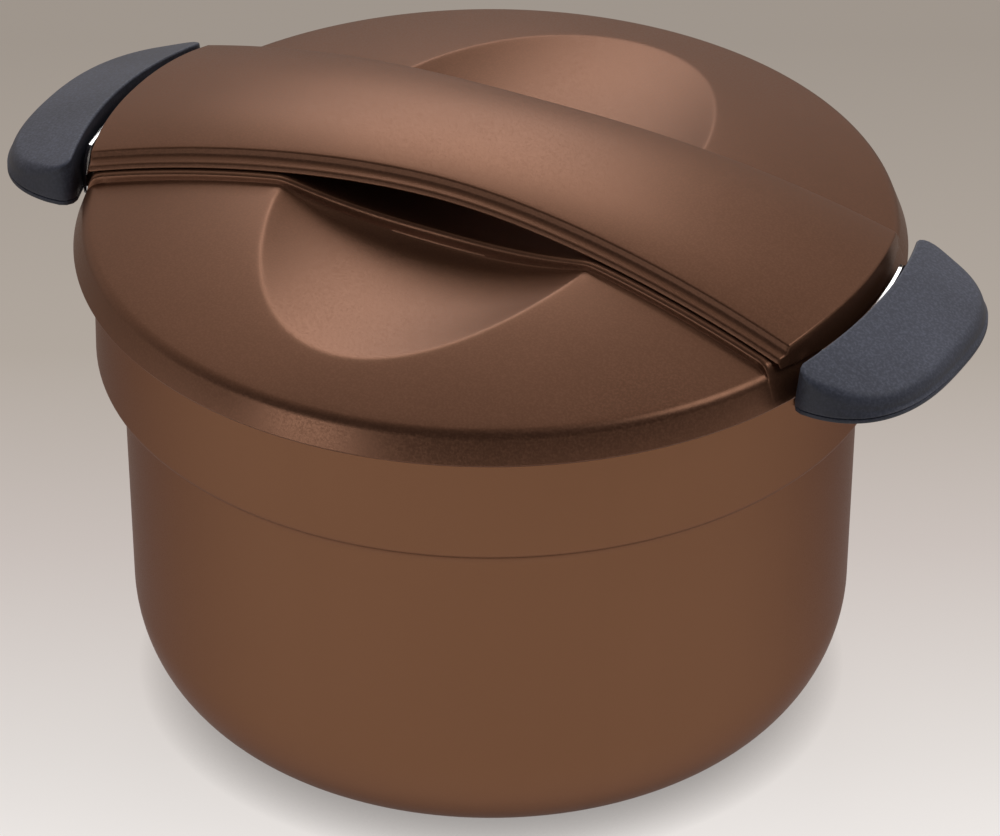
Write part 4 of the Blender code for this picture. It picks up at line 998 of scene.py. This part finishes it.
def four_ways(x, y):
    """A place and its mirror images on the lid."""
    return [(sx * x, sy * y) for sx in (-1, 1) for sy in (-1, 1)]


bridge_points = []
bridge_faces, outer_runs = bridge_sheet(0.0, bridge_points)
hollow_faces, inner_runs = bridge_sheet(BRIDGE_WALL, bridge_points)
bridge_faces += hollow_faces
for outer_run, inner_run in zip(outer_runs, inner_runs):
    bridge_faces += strip(outer_run, inner_run)
boss_low = arch_height(BOSS_X + BOSS_R) + 0.25
boss_line = rounded([
    (BOSS_BORE_R, boss_low), (BOSS_R, boss_low, 0.3), (BOSS_R + 0.2, boss_low + BOSS_HEIGHT),
    (BOSS_BORE_R, boss_low + BOSS_HEIGHT)], 3)
placed("moulded_lid_bridge", [plain_mesh(bridge_points, bridge_faces, brown_moulding)] +
       [turned(boss_line, brown_moulding, 32, True, spot) for spot in four_ways(BOSS_X, BOSS_Y)],
       "outer_lid", "brown_plastic", "lid_bridge", angle=45.0)


# ---- Lid screws ---------------------------------------------------------------------
# Four screws go up through the cover's deck into the bridge's bosses, before the liner
# closes the lid from below.

screw_seat = deck_height(BOSS_X + 3.8) - LID_WALL - 0.6
screws("lid_deck_screws", [(x, y, screw_seat) for x, y in four_ways(BOSS_X, BOSS_Y)],
       [(0.0, 0.0, 0.4 * k) for k in range(4)], 1.8, 7.5, 3.8, 1.8, "outer_lid", "bright_steel",
       "lid_screw_a", "lid_screw_b", "lid_screw_c", "lid_screw_d")


# ---- Lid liner and foam -------------------------------------------------------------
# A moulded plug closes the lid from below.  It stands down into the collar, has a well over
# the pot lid's knob, and holds a ring of foam under the cover.

LINER_WALL, PLUG_R, FLANGE_R, KNOB_WELL_R = 2.2, 122.0, 134.2, 27.0
PLUG_Z, PANEL_OUT, PANEL_IN, PANEL_RISE = 161.96, 86.0, 55.0, 0.8
KNOB_WELL_Z = SCOOP_Z - 5.5 - LINER_WALL
liner_seat = RIM_Z + 0.3
liner_line = rounded([
    (FLANGE_R, liner_seat), (PLUG_R, liner_seat, 1.0), (PLUG_R, PLUG_Z + LINER_WALL, 1.2),
    (PLUG_R - LINER_WALL, PLUG_Z, 1.2), (PANEL_OUT, PLUG_Z, 0.6),
    (PANEL_OUT - 1.0, PLUG_Z + PANEL_RISE, 0.6), (PANEL_IN + 1.0, PLUG_Z + PANEL_RISE, 0.6),
    (PANEL_IN, PLUG_Z, 0.6), (KNOB_WELL_R + LINER_WALL, PLUG_Z, 2.0),
    (KNOB_WELL_R, KNOB_WELL_Z, 3.0), (0.0, KNOB_WELL_Z)], 6)
liner_plastic = grained("liner_plastic", (0.100, 0.090, 0.080), (0.130, 0.118, 0.106), 0.42, 0.0,
                        1500.0, 0.000012, patch=14.0)
placed("lid_liner_plug", [turned(walled(liner_line[::-1], LINER_WALL), liner_plastic,
                                 closed=False)], "outer_lid", "liner_plastic", "lid_liner")
foam_top, foam_low = SCOOP_Z - 3.9, PLUG_Z + LINER_WALL + 0.9
foam_in, foam_out = KNOB_WELL_R + 2.5 * LINER_WALL + 0.3, PLUG_R - 1.5 * LINER_WALL - 0.3
foam_line = looped([
    (foam_out, foam_low, 1.5), (foam_out, foam_top - 7.5, 1.5), (117.0, foam_top - 5.3, 1.5),
    (111.7, foam_top, 3.0), (foam_in, foam_top, 2.0), (foam_in, foam_low, 1.5)], 4)
foam = grained("foam", (0.62, 0.56, 0.42), (0.80, 0.75, 0.62), 0.92, 0.0, 420.0, 0.00035)
placed("lid_foam_ring", [turned(foam_line, foam, 128)], "outer_lid", "foam", "insulation_ring")


# ---- Cooking pot --------------------------------------------------------------------
# A deep-drawn steel pot with a rolled rim.  An aluminium disc under its floor spreads the
# heat, and a pressed steel cap covers the disc.

POT_R, POT_RIM_Z, POT_CORNER, POT_CURL, POT_FLOOR_Z = 112.0, 147.96, 13.0, 1.8, 21.7
CORE_R, CORE_THICK, CAP_R, CAP_RIM = 95.5, 4.0, 96.6, 2.8
CAP_PANEL_OUT, CAP_PANEL_IN, CAP_PANEL_RISE = 70.0, 39.4, 0.2
rim_top = POT_RIM_Z - SHEET
pot_line = rounded([
    (POT_R + 2.0 * POT_CURL, rim_top - POT_CURL), (POT_R + 1.9 * POT_CURL, rim_top, 0.9),
    (POT_R, rim_top, 1.8), (POT_R, POT_FLOOR_Z, POT_CORNER), (0.0, POT_FLOOR_Z)], 8)
placed("steel_pot", [turned(walled(pot_line[::-1], SHEET), satin_steel, closed=False)],
       "cooking_pot", "brushed_steel", "pot_body")
core_top = POT_FLOOR_Z - 0.3
core_low = core_top - CORE_THICK
cast_aluminium = brushed("cast_aluminium", (0.66, 0.66, 0.67), (0.74, 0.74, 0.75), 0.38, 700.0,
                         0.000006)
core_line = rounded([(0.0, core_top), (CORE_R, core_top, 0.8), (CORE_R, core_low, 0.8),
                     (0.0, core_low)], 4)
placed("aluminium_disc", [turned(core_line, cast_aluminium, 128, False)],
       "cooking_pot", "aluminium", "pot_base_core")
cap_low = core_low - 0.3 - SHEET
cap_panel = cap_low + CAP_PANEL_RISE
cap_line = rounded([
    (CAP_R, cap_low + CAP_RIM), (CAP_R, cap_low, 1.4), (CAP_PANEL_OUT, cap_low, 0.4),
    (CAP_PANEL_OUT - 0.6, cap_panel, 0.4), (CAP_PANEL_IN + 0.6, cap_panel, 0.4),
    (CAP_PANEL_IN, cap_low, 0.4), (0.0, cap_low)], 5)
placed("pressed_base_cap", [turned(walled(cap_line[::-1], SHEET), satin_steel, 128, False)],
       "cooking_pot", "brushed_steel", "pot_base_cap")


# ---- Pot side handles ---------------------------------------------------------------
# A curved steel plate is welded to the pot on each side.  A black phenolic tab lies round
# it and is held by one screw in a round recess.

TAB_IN, TAB_OUT, TAB_HALF, TAB_LOW_Z, TAB_TOP_Z = 113.8, 125.8, 32.6, 136.36, 144.56
PLATE_IN, PLATE_THICK, PLATE_HALF, PLATE_LOW_Z = 112.3, 1.2, 17.6, 129.96
TAB_CORNER, PLATE_CORNER, TAB_BORE_R, TAB_RECESS_R, TAB_RECESS_X = 9.0, 6.0, 1.9, 3.3, 122.9
tab_mid_z = (TAB_LOW_Z + TAB_TOP_Z) / 2.0


def tab_width(r, z):
    """The tab's corners seen from above, and its ends' small rounds."""
    edge = max(abs(z - tab_mid_z) - 2.3, 0.0)
    return corner_width(TAB_HALF, TAB_CORNER, r - TAB_OUT + TAB_CORNER) - 0.25 * edge * edge


def bored(mesh, x, radius):
    """The mesh with a hole along X from the given distance outwards."""
    block, drill, depth = bmesh.new(), bmesh.new(), 40.0
    block.from_mesh(mesh)
    bmesh.ops.recalc_face_normals(block, faces=block.faces)
    middle = Matrix.Translation(((x + depth / 2.0) / 1000.0, 0.0, tab_mid_z / 1000.0))
    bmesh.ops.create_cone(drill, cap_ends=True, segments=40, radius1=radius / 1000.0,
                          radius2=radius / 1000.0, depth=depth / 1000.0,
                          matrix=middle @ Matrix.Rotation(math.radians(90.0), 4, "Y"))
    holders = []
    for shape, target in ((block, mesh), (drill, bpy.data.meshes.new("drill"))):
        shape.to_mesh(target)
        shape.free()
        holders.append(bpy.data.objects.new(target.name, target))
    hole = holders[0].modifiers.new("hole", "BOOLEAN")
    hole.object, hole.solver, hole.operation = holders[1], "EXACT", "DIFFERENCE"
    return baked(*holders)


black_phenolic = grained("black_phenolic", (0.010, 0.010, 0.010), (0.018, 0.017, 0.016), 0.40,
                         0.0, 1100.0, 0.000010)
tab_section = looped([(TAB_OUT, TAB_TOP_Z, 2.6), (TAB_IN, TAB_TOP_Z, 0.6),
                      (TAB_IN, TAB_LOW_Z, 0.6), (TAB_OUT, TAB_LOW_Z, 2.6)], 6)
plate_rows = [PLATE_LOW_Z + PLATE_CORNER * (1.0 - math.cos(math.radians(15.0 * k)))
              for k in range(7)] + [140.0, TAB_TOP_Z - 0.3]
plate_section = flat_strip(PLATE_IN + PLATE_THICK, PLATE_THICK, plate_rows)
tab = bent_strip(tab_section, tab_width, black_phenolic, 40)
tab = bored(bored(tab, TAB_IN - 5.0, TAB_BORE_R), TAB_RECESS_X, TAB_RECESS_R)
plate = bored(bent_strip(plate_section, lambda r, z: corner_width(
    PLATE_HALF, PLATE_CORNER, PLATE_LOW_Z + PLATE_CORNER - z), satin_steel), PLATE_IN - 5.0,
    TAB_BORE_R)
for side, sign in SIDES:
    placed("pot_side_tab_" + side, [on_side(tab, sign)], "cooking_pot", "black_phenolic",
           "pot_handle_" + side, angle=40.0)
    placed("pot_side_plate_" + side, [on_side(plate, sign)], "cooking_pot", "brushed_steel",
           "pot_handle_plate_" + side)
    screws("pot_tab_screw_" + side, [(sign * (TAB_RECESS_X + 0.3), 0.0, tab_mid_z)],
           [(0.0, sign * math.radians(-90.0), 0.0)], 1.6, 10.6, 3.0, 1.4, "cooking_pot",
           "brushed_steel", "pot_handle_screw_" + side)


# ---- Glass pot lid ------------------------------------------------------------------
# A domed disc of tempered glass in a rolled steel band.  The band's flange lies on the
# pot's rim and its skirt centres the lid, and a silicone tube lets the steam out.

GLASS_R, GLASS_EDGE_Z, GLASS_THICK, GLASS_RISE = 106.8, 149.56, 4.0, 7.0
KNOB_BORE_R, VENT_X, VENT_R, VENT_NECK_R, VENT_BORE_R = 2.5, 60.0, 5.6, 3.4, 1.4
BAND_IN, BAND_SKIRT, BAND_FLANGE = 103.7, 2.6, 6.2


def glass_under(r):
    return GLASS_EDGE_Z + GLASS_RISE * (1.0 - (r / GLASS_R) ** 2)


tempered_glass = finish("tempered_glass", surface_grain, {"Grain Scale": 60.0, "Patch Scale": 18.0},
                        (0.93, 0.97, 0.95), (0.93, 0.97, 0.95), 0.03, 0.02, 0.00001,
                        {"Transmission Weight": 1.0, "IOR": 1.5}, "Patches")
radii = [KNOB_BORE_R + (GLASS_R - KNOB_BORE_R) * i / 24.0 for i in range(24)]
glass_line = [(r, glass_under(r) + GLASS_THICK) for r in radii]
glass_line += ellipse_arc((GLASS_R - 1.6, GLASS_EDGE_Z + 2.05), (1.6, 1.95), 80.0, -80.0, 8)
glass_line += [(r, glass_under(r)) for r in reversed(radii)]
placed("domed_pot_glass", [turned(glass_line, tempered_glass, 128)],
       "pot_lid", "tempered_glass", "pot_lid_glass")
band_out, band_seat = GLASS_R + 0.3, POT_RIM_Z + 0.3
band_low, band_top = GLASS_EDGE_Z - 0.3, GLASS_EDGE_Z + GLASS_THICK + 0.75
band_line = looped([
    (BAND_IN, band_top + 1.0, 0.4), (band_out + 1.0, band_top + 1.0, 1.6),
    (band_out + 1.0, band_seat + 1.0, 0.8), (band_out + BAND_FLANGE, band_seat + 1.0, 0.45),
    (band_out + BAND_FLANGE, band_seat, 0.45), (band_out + 1.0, band_seat, 0.3),
    (band_out + 1.0, band_seat - BAND_SKIRT, 0.4), (band_out, band_seat - BAND_SKIRT, 0.4),
    (band_out, band_low - 1.0, 0.3), (BAND_IN, band_low - 1.0, 0.4), (BAND_IN, band_low, 0.4),
    (band_out, band_low, 0.3), (band_out, band_top, 0.6), (BAND_IN, band_top, 0.3)], 4)
placed("rolled_glass_band", [turned(band_line, satin_steel)],
       "pot_lid", "brushed_steel", "pot_lid_band")
silicone = grained("silicone", (0.52, 0.52, 0.50), (0.62, 0.62, 0.60), 0.55, 0.0, 900.0, 0.00001)
vent_top = glass_under(VENT_X - VENT_R) + GLASS_THICK + 0.3
vent_low = glass_under(VENT_X + VENT_R) - 0.3
vent_line = looped([
    (VENT_R, vent_top, 0.3), (VENT_NECK_R, vent_top), (VENT_NECK_R, vent_low),
    (VENT_R, vent_low, 0.3), (VENT_R, vent_low - 1.0, 0.4), (VENT_BORE_R, vent_low - 1.0, 0.3),
    (VENT_BORE_R, vent_top + 1.0, 0.3), (VENT_R, vent_top + 1.0, 0.4)], 4)
placed("silicone_vent", [turned(vent_line, silicone, 32, True, (VENT_X, 0.0))],
       "pot_lid", "silicone", "steam_vent")


# ---- Pot lid knob -------------------------------------------------------------------
# A black phenolic knob on a steel ferrule, held by a screw from inside with a silicone
# washer against the glass.

KNOB_FOOT_Z, KNOB_TOP_Z, KNOB_R, KNOB_BORE_DEPTH = 162.06, 179.06, 20.0, 7.8
FERRULE_R, FERRULE_HEIGHT, WASHER_R, WASHER_THICK = 14.0, 0.9, 8.5, 1.2
ferrule_low = glass_under(0.0) + GLASS_THICK + 0.3
ferrule_top = ferrule_low + FERRULE_HEIGHT
ferrule_line = rounded([
    (KNOB_BORE_R, ferrule_low), (FERRULE_R, ferrule_low, 0.2), (FERRULE_R, ferrule_low + 0.6, 0.25),
    (FERRULE_R - 0.9, ferrule_top), (KNOB_BORE_R, ferrule_top)], 4)
placed("steel_ferrule", [turned(ferrule_line, bright_steel, 64)],
       "pot_lid", "brushed_steel", "knob_ferrule")
knob_line = rounded([
    (0.0, KNOB_TOP_Z - 0.5), (6.0, KNOB_TOP_Z - 0.5, 4.0), (12.0, KNOB_TOP_Z, 4.0),
    (KNOB_R, KNOB_TOP_Z - 1.2, 2.0), (KNOB_R - 0.4, KNOB_TOP_Z - 6.2, 1.6),
    (9.2, KNOB_TOP_Z - 8.4, 2.4), (9.4, KNOB_FOOT_Z + 2.6, 2.2), (13.1, KNOB_FOOT_Z, 0.3),
    (KNOB_BORE_R, KNOB_FOOT_Z), (KNOB_BORE_R, KNOB_FOOT_Z + KNOB_BORE_DEPTH),
    (0.0, KNOB_FOOT_Z + KNOB_BORE_DEPTH)], 6)
placed("pot_lid_handle_knob", [turned(knob_line, black_phenolic, 96, False)],
       "pot_lid", "black_phenolic", "pot_lid_knob")
washer_top = glass_under(0.0) - 0.3
washer_low = washer_top - WASHER_THICK
washer_line = rounded([(KNOB_BORE_R, washer_top), (WASHER_R, washer_top, 0.3),
                       (WASHER_R, washer_low, 0.3), (KNOB_BORE_R, washer_low)], 3)
placed("silicone_washer", [turned(washer_line, silicone, 48)], "pot_lid", "silicone",
       "knob_washer")
screws("knob_fixing_screw", [(0.0, 0.0, washer_low - 0.3)], [(0.0, 0.0, 0.3)], 2.2, 14.0, 4.94,
       1.8, "pot_lid", "brushed_steel", "knob_screw")
